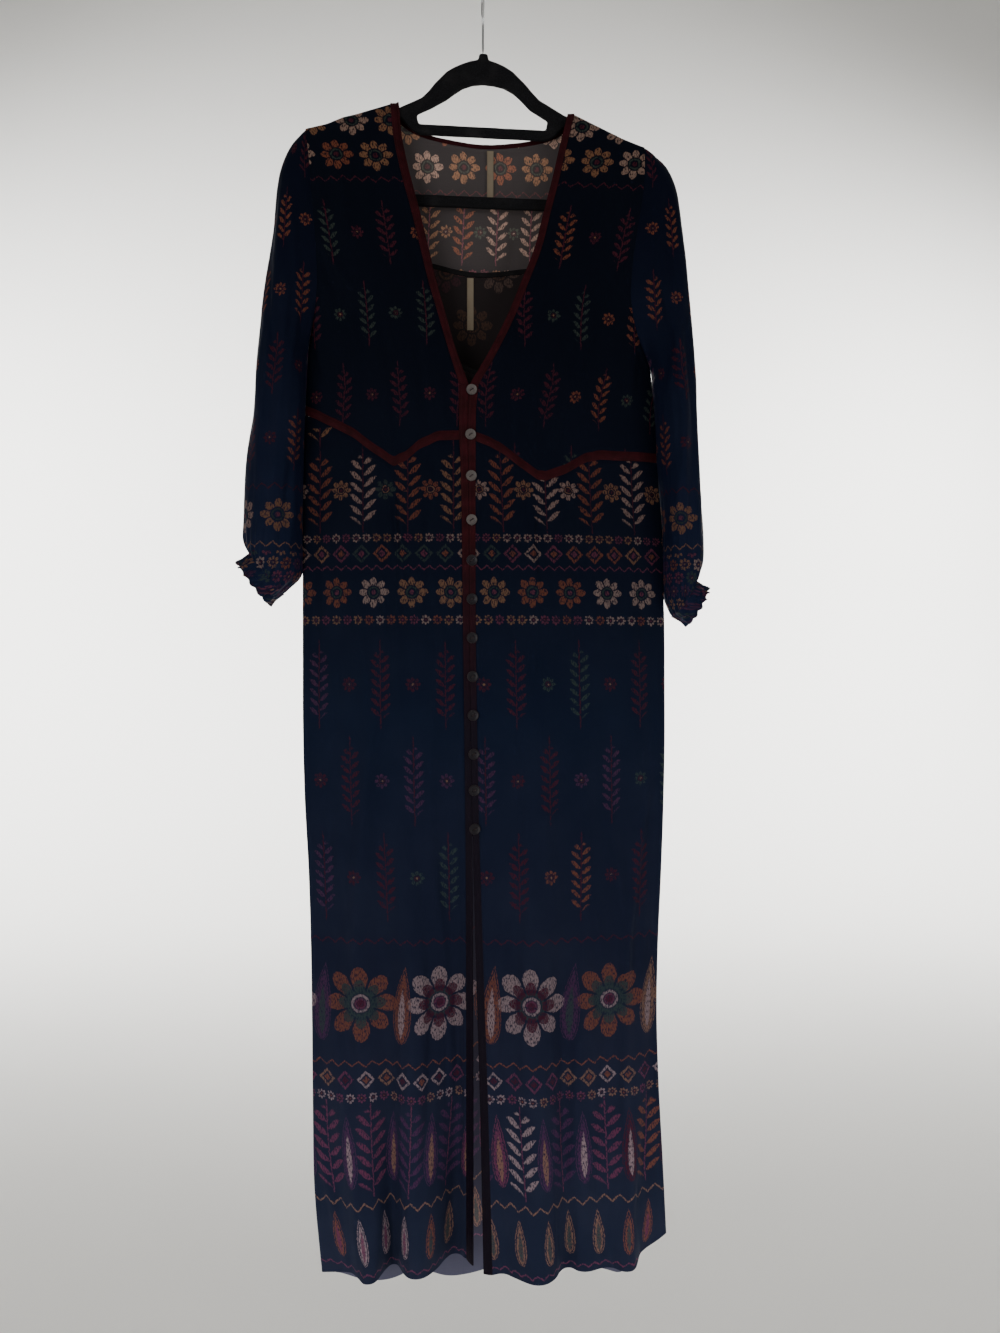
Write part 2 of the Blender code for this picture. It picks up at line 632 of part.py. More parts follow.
def make_back_bodice():
    left, right = outer_rows("left"), outer_rows("right")
    tops = dict(back_top_columns())

    def heights(share):
        bottom, top = band_back_z(share) + BAND_WIDTH / 2 + SEAM_GAP, tops[share]
        column = []
        for k in range(len(left) - len(SHOULDER_DROPS) + 1):
            up_left = (left[k] - left[0]) / (left[-3] - left[0])
            up_right = (right[k] - right[0]) / (right[-3] - right[0])
            column.append(mix(bottom, top - SHOULDER_DROPS[0], mix(up_left, up_right, share)))
        return column + [top - drop for drop in SHOULDER_DROPS[1:]]

    return wall("back_bodice", back_grid(back_shares(), heights), CLOTH, "cloth",
                squared=UPRIGHT_SEAMS + LEVEL_SEAMS[:1] + (("last row", back_neck_leans()),))


def make_back_band():
    half = BAND_WIDTH / 2
    grid = back_grid(back_shares(), lambda share: (band_back_z(share) - half, band_back_z(share),
                                                   band_back_z(share) + half), PROUD)
    wall("waist_band_back", grid, TRIM, "trim", squared=UPRIGHT_SEAMS + LEVEL_SEAMS)


def make_back_skirt():
    shares = back_shares()

    def heights(share):
        x = mix(side_x("left", HEM_LEVEL), side_x("right", HEM_LEVEL), share)
        return skirt_rows(read(HEM_BACK, x), band_back_z(share) - BAND_WIDTH / 2 - SEAM_GAP)

    wall("back_skirt", back_grid(shares, heights), CLOTH, "cloth", squared=UPRIGHT_SEAMS + LEVEL_SEAMS)


# ---------------------------------------------------------------- bindings

def make_neck_binding(side, rows):
    """Binding along one side of the V, from its point to the shoulder seam."""
    table = NECK_LEFT if side == "left" else NECK_RIGHT
    heights = [z for z in rows if z >= NECK_POINT]
    heights[0] = NECK_POINT + SEAM_GAP / 2
    grid = [[on_body(read(table, z) + way * read(table, z, 2), z, "front", PROUD) for way in (-1, 1)]
            for z in heights]
    wall(f"neck_binding_{side}", grid, TRIM, "trim", squared=UPRIGHT_SEAMS)


def make_front_binding(side):
    """Strip down one front edge, from the point of the V to the hem."""
    columns = (1, 2) if side == "left" else (3, 4)
    band_z = front_columns(side)[-1][1]
    half = BAND_WIDTH / 2
    heights = skirt_rows(HEM_FRONT[2][1], band_z - half)
    heights.append(band_z)
    heights += list(np.linspace(band_z + half, NECK_POINT - SEAM_GAP / 2, SIDE_STEPS))
    grid = [[on_body(read(FRONT_EDGES, z, column), z, "front", PROUD) for column in columns] for z in heights]
    return wall(f"front_binding_{side}", grid, TRIM, "trim", squared=UPRIGHT_SEAMS)


def back_neck_inwards():
    """Unit directions from the back neckline's seam into the opening."""
    along = np.gradient(np.array(BACK_NECK), axis=0)
    inwards = np.stack([-along[:, 1], along[:, 0]], axis=1)
    return inwards / np.linalg.norm(inwards, axis=1, keepdims=True)


def back_neck_line(reach):
    """The back neckline's seam, moved inwards by `reach`. Its two ends move along the shoulder seams."""
    ways = back_neck_inwards()
    ways[0], ways[-1] = (1.0, 0.0), (-1.0, 0.0)
    return np.array(BACK_NECK) + ways * reach


def back_neck_leans():
    """Directions square to the back bodice's top seams: none along the shoulders, inwards round the neck."""
    inwards = [(x, 0.0, z) for x, z in back_neck_inwards()]
    plain = [(0.0, 0.0, 0.0)] * SHOULDER_COLUMNS
    return np.array(plain + inwards + plain)


def make_back_neck_binding():
    """Binding round the back neck, between the two shoulder seams."""
    grid = [[on_body(x, z, "back", PROUD) for x, z in back_neck_line(reach)]
            for reach in (0.0, BACK_NECK_WIDTH)]
    inwards = [(x, 0.0, z) for x, z in back_neck_inwards()]
    wall("neck_binding_back", grid, TRIM, "trim", squared=(("first row", inwards), ("last row", inwards)))


# ---------------------------------------------------------------- sleeves

def armhole_ring(side):
    """The armhole as a ring: underarm, up the front, shoulder tip, down the back."""
    sign = -1 if side == "left" else 1
    heights = outer_rows(side)[SIDE_STEPS:]
    front, back = [], []
    for z in heights:
        low = max(0.0, 1 - (z - heights[0]) / UNDERARM_EASE_HEIGHT)
        seam_x = side_x(side, z)
        x = seam_x + sign * (SEAM_GAP + UNDERARM_EASE * low)
        front.append((x, -body_depth(seam_x, z, "front"), z))
        back.append((x, body_depth(seam_x, z, "back"), z))
    front[0] = (front[0][0], 0.0, front[0][2])
    front[-1] = (front[-1][0], 0.0, front[-1][2])
    return np.array(front + back[-2:0:-1])


def sleeve_rings(side):
    """Rings of a sleeve from its armhole to the casing."""
    sign = -1 if side == "left" else 1
    first = armhole_ring(side)
    count = len(first)
    turn = np.linspace(0, 2 * math.pi, count, endpoint=False)
    even = (1 - np.cos(turn)) / 2
    climb = (first[:, 2] - first[0, 2]) / (first[count // 2, 2] - first[0, 2])
    bow = first[:, 0] - mix(first[0, 0], first[count // 2, 0], climb)
    place, depth, start, end = SLEEVE_CREASES[side]
    rings = [first]
    table = SLEEVES[side]
    for number, (out_x, out_z, in_x, in_z, half_depth) in enumerate(table):
        settled = min(1.0, (number + 1) / 4)
        share = mix(climb, even, settled)
        swell = np.sin(turn)
        sag = half_depth * swell
        if start <= number <= end:
            fade = math.sin(math.pi * (number - start + 1) / (end - start + 2))
            sag = sag - np.sign(swell) * depth * fade * np.exp(-((share - place) / CREASE_HALF_WIDTH) ** 2)
        x = mix(in_x, out_x, share) + bow * (1 - settled)
        z = mix(in_z, out_z, share)
        edge = np.array([side_x(side, height) for height in z])
        x = sign * np.maximum(sign * x, sign * edge + SLEEVE_CLEAR)
        if number >= len(table) - 2:
            sag = sag + GATHER_SWING * np.cos(turn * count / 2) * np.where(swell < 0, -1, 1)
        rings.append(np.stack([x, -sag, z], axis=1))
    return np.array(rings)


def wrist_ring(side, reach, waves, swing, count):
    """Ring parallel to the sleeve's end, `reach` beyond it, with waves round it."""
    out_x, out_z, in_x, in_z, half_depth = SLEEVES[side][-1]
    middle = np.array([(out_x + in_x) / 2, 0.0, (out_z + in_z) / 2])
    half = np.array([(out_x - in_x) / 2, 0.0, (out_z - in_z) / 2])
    length = np.linalg.norm(half)
    sign = -1 if side == "left" else 1
    away = np.array([half[2], 0.0, -half[0]]) / length * sign
    turn = np.linspace(0, 2 * math.pi, count, endpoint=False)
    radius = 1 + swing * np.cos(waves * turn) / ((length + half_depth) / 2)
    rocking = WAVE_ROCKING * swing * np.sin(waves * turn)
    ring = middle + np.outer(-np.cos(turn) * radius, half) + np.outer(reach + rocking, away)
    ring[:, 1] = -np.sin(turn) * radius * half_depth
    return ring


def make_sleeve(side):
    rings = sleeve_rings(side)
    wall(f"sleeve_{side}", rings, CLOTH, "cloth", closed=True, squared=(("first row", ACROSS),))
    count = rings.shape[1]
    gathers = count // 2
    casing = [wrist_ring(side, reach, gathers, swing, count)
              for reach, swing in ((SEWN_RING_GAP, 1.0), (CASING_WIDTH / 2, 0.6), (CASING_WIDTH, 1.0))]
    wall(f"cuff_{side}", casing, CLOTH, "cloth", closed=True)
    fine = RUFFLE_WAVES * POINTS_PER_WAVE
    start = CASING_WIDTH + SEWN_RING_GAP
    ruffle = [wrist_ring(side, start + share * RUFFLE_WIDTH, RUFFLE_WAVES, swing, fine)
              for share, swing in ((0.0, 1.0), (0.5, RUFFLE_SWING * 2 / 3), (1.0, RUFFLE_SWING))]
    wall(f"cuff_ruffle_{side}", ruffle, CLOTH, "cloth", closed=True)


# ---------------------------------------------------------------- slip

def slip_point(x, z, face):
    depth = SIDE_HALF + SLIP_SHARE * (body_depth(x, max(z, SLIP_HEM), face) - SIDE_HALF)
    left, right = slip_side("left", z), slip_side("right", z)
    across = min(1.0, abs((2 * x - left - right) / (right - left)))
    depth = SIDE_HALF + (depth - SIDE_HALF) * (1 - across ** SLIP_SIDE_CALM)
    return (x, -depth if face == "front" else depth, z)


def slip_side(side, z):
    sign = 1 if side == "left" else -1
    return read(SIDES, min(z, underarm("right")[0]), 1 if side == "left" else 2) + sign * SLIP_SIDE_INSET


def make_slip(face):
    tops = SLIP_TOP_FRONT if face == "front" else SLIP_TOP_BACK
    first, last = tops[0][0], tops[-1][0]
    columns = []
    for top_x, top_z in tops:
        share = (top_x - first) / (last - first)
        heights = np.linspace(SLIP_HEM, top_z, SLIP_ROWS + 1)
        columns.append([slip_point(mix(mix(slip_side("left", z), slip_side("right", z), share), top_x,
                                       (k / SLIP_ROWS) ** 2), z, face) for k, z in enumerate(heights)])
    panel = wall(f"slip_{face}", np.array(columns).transpose(1, 0, 2), SLIP_CLOTH, "slip")
    edge = [(x, z) for x, z in tops if abs(x) <= STRAP_ANCHOR + STRAP_WIDTH]
    grid = [[slip_point(x, z + rise, face) for x, z in edge]
            for rise in (SEAM_GAP, SEAM_GAP + SLIP_BINDING)]
    wall(f"slip_binding_{face}", grid, SLIP_BINDING_CLOTH, "slip")
    return panel


def make_slip_strap(side):
    """Narrow strap from the slip's front edge, over the hanger's arm, to its back edge."""
    sign = -1 if side == "left" else 1
    anchor, over = sign * STRAP_ANCHOR, sign * STRAP_OVER_ARM
    (first_y, first_drop), (last_y, last_drop) = STRAP_OVER[0], STRAP_OVER[-1]
    front_z = read(SLIP_TOP_FRONT, anchor) + SLIP_BINDING + 3 * SEAM_GAP
    back_z = read(SLIP_TOP_BACK, anchor) + SLIP_BINDING + 3 * SEAM_GAP
    front_y = slip_point(anchor, front_z, "front")[1]
    back_y = slip_point(anchor, back_z, "back")[1]
    grid = []
    for way in (-1, 1):
        edge = way * STRAP_WIDTH / 2
        top = read(SHOULDERS, over + edge) - STRAP_BELOW_SEAM

        def hanging(share, low_y, low_z, high_y, drop):
            """Point part of the way up from the slip's edge to the arm."""
            return (mix(anchor, over, share) + edge, mix(low_y, high_y, share), mix(low_z, top - drop, share))

        path = [hanging(share, front_y, front_z, first_y, first_drop) for share in (0, 1 / 3, 2 / 3)]
        path += [(over + edge, y, top - drop) for y, drop in STRAP_OVER]
        path += [hanging(share, back_y, back_z, last_y, last_drop) for share in (2 / 3, 1 / 3, 0)]
        grid.append(path)
    wall(f"slip_strap_{side}", np.array(grid).transpose(1, 0, 2), STRAP_CLOTH, "slip", squared=LEVEL_SEAMS)


# ---------------------------------------------------------------- labels and buttons

def make_label(name, backing, middle_x, top):
    """Bare sewn-in label that lies on the inner side of its backing."""
    heights = np.linspace(top - LABEL_LENGTH, top, LABEL_ROWS)
    grid = []
    for z in heights:
        row = []
        for x in (middle_x - LABEL_WIDTH / 2, middle_x, middle_x + LABEL_WIDTH / 2):
            y = touch(backing, x, z, 1) - LABEL_GAP - SLIP_CLOTH / 2
            row.append((x, y, z))
        grid.append(row)
    wall(name, grid, SLIP_CLOTH, "label")


def make_button(number, z, strips):
    """Two-hole button that lies on the front strips."""
    x = read(FRONT_EDGES, z, 3) + BUTTON_FROM_EDGE
    reach = BUTTON_DIAMETER / 2
    near = min(touch(strip, x + dx, z + dz, 1) for strip in strips
               for dx in (-reach * 2 / 3, 0.0, reach * 2 / 3) for dz in (-reach, 0.0, reach)
               if strip_covers(strip, x + dx, z + dz))
    bm = bmesh.new()
    bmesh.ops.create_cone(bm, cap_ends=True, segments=BUTTON_SIDES, radius1=reach * MM, radius2=reach * MM,
                          depth=BUTTON_THICKNESS * MM)
    mesh = bpy.data.meshes.new(f"button_{number:02d}")
    bm.to_mesh(mesh)
    bm.free()
    button = add_object(f"button_{number:02d}", mesh, "button")
    button.location = Vector((x, near - SEAM_GAP - BUTTON_THICKNESS / 2, z)) * MM
    button.rotation_euler = (math.radians(90), 0, 0)
    bevel = button.modifiers.new("rim", "BEVEL")
    bevel.width = BUTTON_RIM * MM
    bevel.segments = 1
    bevel.limit_method = "ANGLE"
    bevel.angle_limit = math.radians(60)
    for hole, way in enumerate((-1, 1)):
        drill_mesh = bpy.data.meshes.new("drill")
        drill = bmesh.new()
        bmesh.ops.create_cone(drill, cap_ends=True, segments=BUTTON_HOLE_SIDES, radius1=BUTTON_HOLE / 2 * MM,
                              radius2=BUTTON_HOLE / 2 * MM, depth=4 * BUTTON_THICKNESS * MM)
        drill.to_mesh(drill_mesh)
        drill.free()
        cutter = bpy.data.objects.new(f"button_{number:02d}_drill_{hole}", drill_mesh)
        bpy.context.scene.collection.objects.link(cutter)
        cutter.parent = button
        cutter.location = (0, way * BUTTON_HOLE_PITCH / 2 * MM, 0)
        cutter.hide_render = True
        cutter.display_type = "WIRE"
        cut = button.modifiers.new(f"hole_{hole}", "BOOLEAN")
        cut.object = cutter
        cut.solver = "EXACT"
    return button


def strip_covers(strip, x, z):
    tree = BVHTree.FromPolygons([v.co for v in strip.data.vertices], [p.vertices for p in strip.data.polygons])
    return tree.ray_cast(Vector((x * MM, -1, z * MM)), Vector((0, 1, 0)))[0] is not None


# ---------------------------------------------------------------- hanger

def make_hanger():
    """Flat flocked plate with two windows, and the wire hook above its collar."""
    bm = bmesh.new()
    edges = []
    for outline in (HANGER_OUTLINE, HANGER_UPPER_WINDOW, HANGER_LOWER_WINDOW):
        ring = [bm.verts.new((x * MM, -HANGER_THICKNESS / 2 * MM, z * MM)) for x, z in outline]
        edges += [bm.edges.new((a, b)) for a, b in zip(ring, ring[1:] + ring[:1])]
    bmesh.ops.triangle_fill(bm, use_beauty=True, use_dissolve=False, edges=edges)
    grown = bmesh.ops.extrude_face_region(bm, geom=bm.faces[:])
    moved = [v for v in grown["geom"] if isinstance(v, bmesh.types.BMVert)]
    bmesh.ops.translate(bm, verts=moved, vec=(0, HANGER_THICKNESS * MM, 0))
    bmesh.ops.recalc_face_normals(bm, faces=bm.faces)
    mesh = bpy.data.meshes.new("hanger_body")
    bm.to_mesh(mesh)
    bm.free()
    body = add_object("hanger_body", mesh, "flock")
    bevel = body.modifiers.new("rounded edges", "BEVEL")
    bevel.width = HANGER_ROUNDING * MM
    bevel.segments = 1
    bevel.limit_method = "ANGLE"
    bevel.angle_limit = math.radians(70)

    wire = HOOK_INSIDE_RADIUS + WIRE_DIAMETER / 2
    path = list(HOOK_STEM)
    for step in range(HOOK_STEPS + 1):
        angle = math.radians(HOOK_TURN) * (1 - step / HOOK_STEPS)
        path.append((wire * math.cos(angle), -HOOK_INSIDE_RADIUS + wire * math.sin(angle)))
    path.append((wire - HOOK_TIP_LEAN, -HOOK_INSIDE_RADIUS - HOOK_TIP_DROP))
    curve = bpy.data.curves.new("hanger_hook", "CURVE")
    curve.dimensions = "3D"
    spline = curve.splines.new("POLY")
    spline.points.add(len(path) - 1)
    for point, (y, z) in zip(spline.points, path):
        point.co = (0, y * MM, z * MM, 1)
    curve.bevel_depth = WIRE_DIAMETER / 2 * MM
    curve.bevel_resolution = 2
    curve.use_fill_caps = True
    curve.materials.append(finish("wire"))
    hook = bpy.data.objects.new("hanger_hook", curve)
    bpy.context.scene.collection.objects.link(hook)


# ---------------------------------------------------------------- the whole object

def main():
    for old in list(bpy.data.objects):
        bpy.data.objects.remove(old)
    make_hanger()
    for side in ("left", "right"):
        rows = make_front_bodice(side)
        make_neck_binding(side, rows)
        make_front_band(side)
        make_front_skirt(side)
        make_sleeve(side)
        make_slip_strap(side)
    strips = [make_front_binding(side) for side in ("left", "right")]
    back = make_back_bodice()
    make_back_band()
    make_back_skirt()
    make_back_neck_binding()
    make_slip("front")
    slip_back = make_slip("back")
    make_label("neck_label", back, 9.0, -198.0)
    make_label("slip_label", slip_back, -14.5, -348.0)
    for number, z in enumerate(BUTTON_HEIGHTS, 1):
        make_button(number, z, strips)


main()
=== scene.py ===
# %% [markdown]
# # Maxi dress on a flocked hanger
#
# A long button-front dress of thin printed cloth hangs on a flat flocked hanger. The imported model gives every
# piece its place and size as a plain solid wall. This lesson lays thin, finely folded cloth over those walls,
# trims it, and dyes it. Lengths are millimetres in the tables, and `MM` turns them into metres.

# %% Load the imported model
import math

import bmesh
import bpy
import numpy as np
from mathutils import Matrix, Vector
from mathutils.bvhtree import BVHTree


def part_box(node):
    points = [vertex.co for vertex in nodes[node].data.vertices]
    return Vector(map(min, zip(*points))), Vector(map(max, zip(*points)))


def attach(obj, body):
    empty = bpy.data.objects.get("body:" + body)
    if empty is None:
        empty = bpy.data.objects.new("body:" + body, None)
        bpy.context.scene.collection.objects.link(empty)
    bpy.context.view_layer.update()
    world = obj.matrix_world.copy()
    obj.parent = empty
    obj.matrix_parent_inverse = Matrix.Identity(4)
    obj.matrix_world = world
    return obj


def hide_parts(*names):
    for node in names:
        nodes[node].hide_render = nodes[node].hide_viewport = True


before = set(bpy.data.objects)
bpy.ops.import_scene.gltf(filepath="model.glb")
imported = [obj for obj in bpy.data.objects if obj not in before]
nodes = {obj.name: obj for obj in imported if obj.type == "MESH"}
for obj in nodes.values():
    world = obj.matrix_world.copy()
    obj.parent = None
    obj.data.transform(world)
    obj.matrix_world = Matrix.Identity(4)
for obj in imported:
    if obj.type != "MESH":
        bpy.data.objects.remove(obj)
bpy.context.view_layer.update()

MM = 0.001
print("nodes:", len(nodes))

# %% [markdown]
# ## Camera, light and stage
#
# The dress is seen square on, from its own middle height, with the camera turned a few degrees to the right.
# A pale sheet runs along the floor and up behind, and big soft lamps light it, most of all low down.

# %% Camera
VIEW_POINT = (-0.0474, -1.1681, -0.8046)
VIEW_TURN = 3.3
LENS = 27.0


def add_camera():
    data = bpy.data.cameras.new("view")
    data.lens = LENS
    camera = bpy.data.objects.new("view", data)
    bpy.context.scene.collection.objects.link(camera)
    camera.location = VIEW_POINT
    camera.rotation_euler = (math.radians(90), 0, math.radians(-VIEW_TURN))
    bpy.context.scene.camera = camera


add_camera()

# %% Choosing what an operator acts on
def only(*objects):
    """Select these objects alone; the first one is active."""
    for other in bpy.context.selected_objects:
        other.select_set(False)
    for one in objects:
        one.select_set(True)
    bpy.context.view_layer.objects.active = objects[0]


def apply_modifiers(piece):
    only(piece)
    for modifier in list(piece.modifiers):
        bpy.ops.object.modifier_apply(modifier=modifier.name)


def edit_all(piece, *steps):
    """Selects the whole mesh and takes the steps in edit mode."""
    only(piece)
    bpy.ops.object.mode_set(mode="EDIT")
    bpy.ops.mesh.select_all(action="SELECT")
    for step in steps:
        step()
    bpy.ops.object.mode_set(mode="OBJECT")


def merge_close():
    bpy.ops.mesh.remove_doubles(threshold=0.00001)


# %% Stage: a pale sheet, floor and wall in one sweep
FLOOR = -1.62
WALL = 3.2             # far enough back to leave room for a camera behind the dress
SHEET_WIDE = 40.0
SHEET_HIGH = 7.0
SWEEP_RADIUS = 1.2
SWEEP_STEPS = 24
PAPER, PAPER_ROUGHNESS = (0.80, 0.79, 0.76), 0.9


def plain_material(name, colour, roughness):
    material = bpy.data.materials.new(name)
    material.use_nodes = True
    shader = material.node_tree.nodes["Principled BSDF"]
    shader.inputs["Base Color"].default_value = (*colour, 1.0)
    shader.inputs["Roughness"].default_value = roughness
    return material


def add_stage():
    half = SHEET_WIDE / 2
    bpy.ops.mesh.primitive_plane_add(size=SHEET_WIDE, location=(0, WALL - half, FLOOR))
    sheet = bpy.context.object
    sheet.name = "backdrop"
    only(sheet)
    bpy.ops.object.mode_set(mode="EDIT")
    bpy.ops.mesh.select_mode(type="EDGE")
    bpy.ops.mesh.select_all(action="DESELECT")
    bpy.ops.object.mode_set(mode="OBJECT")
    for edge in sheet.data.edges:
        edge.select = all(sheet.data.vertices[v].co.y > half - 0.1 for v in edge.vertices)
    bpy.ops.object.mode_set(mode="EDIT")
    bpy.ops.mesh.extrude_region_move(TRANSFORM_OT_translate={"value": (0, 0, SHEET_HIGH)})
    bpy.ops.object.mode_set(mode="OBJECT")
    bevel = sheet.modifiers.new("sweep", "BEVEL")
    bevel.width = SWEEP_RADIUS
    bevel.segments = SWEEP_STEPS
    bevel.limit_method = "ANGLE"
    apply_modifiers(sheet)
    bpy.ops.object.shade_smooth()
    bpy.ops.object.transform_apply()
    sheet.data.materials.append(plain_material("pale paper", PAPER, PAPER_ROUGHNESS))


add_stage()

# %% Lights
# name: place, aimed at, size, watts, spread in degrees
LAMPS = {
    "soft front left": ((-1.6, -2.2, -0.75), (0, 0, -1.1), 1.4, 20, 180),
    "soft front right": ((1.9, -1.6, -0.75), (0, 0, -1.1), 1.2, 11, 180),
    "soft behind": ((0.6, 1.6, 1.2), (0, 0, -0.8), 1.6, 16, 180),
    "wall wash left": ((-3.0, 1.2, 0.4), (-0.9, 3.2, -0.7), 2.0, 150, 100),
    "wall wash right": ((3.0, 1.2, 0.4), (0.9, 3.2, -0.7), 2.0, 150, 100),
}
ROOM_COLOUR = (1.0, 0.99, 0.97, 1.0)
ROOM_LIGHT = 0.30


def add_lamps():
    for name, (place, target, size, watts, spread) in LAMPS.items():
        data = bpy.data.lights.new(name, "AREA")
        data.size = size
        data.energy = watts
        data.spread = math.radians(spread)
        lamp = bpy.data.objects.new(name, data)
        bpy.context.scene.collection.objects.link(lamp)
        lamp.location = place
        lamp.visible_camera = False
        lamp.rotation_euler = (Vector(target) - Vector(place)).to_track_quat("-Z", "Y").to_euler()
    world = bpy.data.worlds.new("studio")
    world.use_nodes = True
    background = world.node_tree.nodes["Background"]
    background.inputs["Color"].default_value = ROOM_COLOUR
    background.inputs["Strength"].default_value = ROOM_LIGHT
    bpy.context.scene.world = world


add_lamps()

# %% [markdown]
# ## From a solid wall to a sheet of cloth
#
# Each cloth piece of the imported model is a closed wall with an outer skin, an inner skin and a narrow rim.
# The real cloth is far thinner and far smoother. A fresh grid, many times finer, is stretched over the wall's
# outer skin: its four edges follow the skin's edges as smooth curves, and every inner point is dropped onto
# the skin by a ray. A little smoothing takes the facets away. Rebuilding on a grid, and not subdividing the
# wall itself, gives even squares, and even squares fold well and carry a print well.

# %% The outer skin of a wall
CLOTH_WALL = 1.2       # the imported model's walls: cloth, trim, slip
TRIM_WALL = 2.0
SLIP_WALL = 1.0


def island_lists(bm):
    """Faces of a mesh, grouped by what hangs together."""
    left = set(bm.faces)
    groups = []
    while left:
        stack = [left.pop()]
        group = list(stack)
        while stack:
            for edge in stack.pop().edges:
                for face in edge.link_faces:
                    if face in left:
                        left.remove(face)
                        stack.append(face)
                        group.append(face)
        groups.append(group)
    return groups


def outer_skin(node, wall, outwards):
    """The outer skin of a node's wall: its BVH tree and its border loops, in millimetres.

    outwards is the direction the skin faces, or None for a tube, whose outer skin is the larger one.
    """
    bm = bmesh.new()
    bm.from_mesh(nodes[node].data)
    bmesh.ops.scale(bm, vec=(1000, 1000, 1000), verts=bm.verts)
    bmesh.ops.remove_doubles(bm, verts=bm.verts, dist=0.01)
    rim = {face for edge in bm.edges if abs(edge.calc_length() - wall) < 0.02 for face in edge.link_faces}
    bmesh.ops.delete(bm, geom=list(rim), context="FACES")
    groups = island_lists(bm)

    def rank(group):
        if outwards is None:
            return sum(face.calc_area() for face in group)
        return sum(face.calc_center_median().dot(outwards) for face in group) / len(group)

    best = max(groups, key=rank)
    bmesh.ops.delete(bm, geom=[face for face in bm.faces if face not in set(best)], context="FACES")
    loose = [vert for vert in bm.verts if not vert.link_faces]
    bmesh.ops.delete(bm, geom=loose, context="VERTS")
    loops = border_loops(bm)
    tree = BVHTree.FromBMesh(bm)
    bm.free()
    return tree, loops


def border_loops(bm):
    """Border vertices of an open mesh, in order, as arrays of points."""
    neighbours = {}
    for edge in bm.edges:
        if edge.is_boundary:
            a, b = edge.verts
            neighbours.setdefault(a, []).append(b)
            neighbours.setdefault(b, []).append(a)
    loops = []
    while neighbours:
        start = next(iter(neighbours))
        loop, before, here = [start], None, start
        while True:
            after = next((v for v in neighbours[here] if v is not before and v not in loop[1:]), None)
            if after is None or after is start:
                break
            loop.append(after)
            before, here = here, after
        for vert in loop:
            neighbours.pop(vert, None)
        loops.append(np.array([tuple(vert.co) for vert in loop]))
    return loops


# %% Smooth curves through a border's points
def length_of(points):
    return np.linalg.norm(np.diff(points, axis=0), axis=1).sum()


def walked(points):
    """Length walked from the first point to each one."""
    return np.concatenate([[0], np.cumsum(np.linalg.norm(np.diff(points, axis=0), axis=1))])


def evenly_spaced(row, count):
    """So many points along a row, evenly spaced by length."""
    length = walked(row)
    at = np.linspace(0, length[-1], count)
    return np.stack([np.interp(at, length, row[:, axis]) for axis in range(3)], axis=1)


def curve_through(points, count, closed=False):
    """`count` points along a Catmull-Rom curve through `points`, evenly spaced by length on an open curve."""
    points = np.asarray(points, float)
    if closed:
        padded = np.vstack([points[-1:], points, points[:2]])
        at = np.linspace(0, len(points), count, endpoint=False)
    else:
        padded = np.vstack([2 * points[0] - points[1], points, 2 * points[-1] - points[-2]])
        length = walked(points)
        at = np.interp(np.linspace(0, length[-1], count), length, np.arange(len(points)))
        at[-1] -= 1e-9
    cell = np.floor(at).astype(int)
    t = (at - cell)[:, None]
    a, b, c, d = (padded[cell + k] for k in range(4))
    square, cube = 2 * a - 5 * b + 4 * c - d, 3 * b - a - 3 * c + d
    return 0.5 * (2 * b + (c - a) * t + square * t ** 2 + cube * t ** 3)


def softened(grid, across, along, closed=False):
    """The grid with its inner points evened out `across` and `along` times; its open borders stay."""
    grid = grid.copy()
    for _ in range(across):
        if closed:
            grid = (np.roll(grid, 1, axis=1) + 2 * grid + np.roll(grid, -1, axis=1)) / 4
        else:
            grid[:, 1:-1] = (grid[:, :-2] + 2 * grid[:, 1:-1] + grid[:, 2:]) / 4
    for _ in range(along):
        grid[1:-1] = (grid[:-2] + 2 * grid[1:-1] + grid[2:]) / 4
    return grid


# %% A grid over one panel
FRONT, BACK = Vector((0, -1, 0)), Vector((0, 1, 0))
FINE = 3               # a row is sampled this much finer, then spaced evenly along the cloth
FEWEST = 5             # a grid has at least so many columns and rows
SKIN_SOFTENING = 22    # rounds of evening out across a row
SOFTENED_UP = 60.0     # and one round up the rows for each cell that this length holds
FAR_AWAY = 300.0       # a ray starts so far outside the dress
TUBE_SOFTENING = (5, 1)
SLEEVE_SOFTENING = (5, 10)


def four_borders(loop, corners):
    """A panel's border cut at the points nearest its corners: bottom, right, top and left, each left to right
    or bottom to top. corners gives x, z of its bottom left, bottom right, top right and top left."""
    picks = [int(np.argmin(np.hypot(loop[:, 0] - x, loop[:, 2] - z))) for x, z in corners]
    loop = np.roll(loop, -picks[0], axis=0)
    picks = [(k - picks[0]) % len(loop) for k in picks]
    if picks[1] > picks[3]:
        loop = np.roll(loop[::-1], 1, axis=0)
        picks = [-k % len(loop) for k in picks]
    closed = np.vstack([loop, loop[:1]])
    bottom, right, top, left = (closed[a:b + 1] for a, b in zip(picks, picks[1:] + [len(loop)]))
    return bottom, right, top[::-1], left[::-1]


def never_back(curve):
    """The curve with no step backwards across, where a smooth curve overshoots a sharp corner."""
    curve[:, 0] = np.maximum.accumulate(curve[:, 0])
    return curve


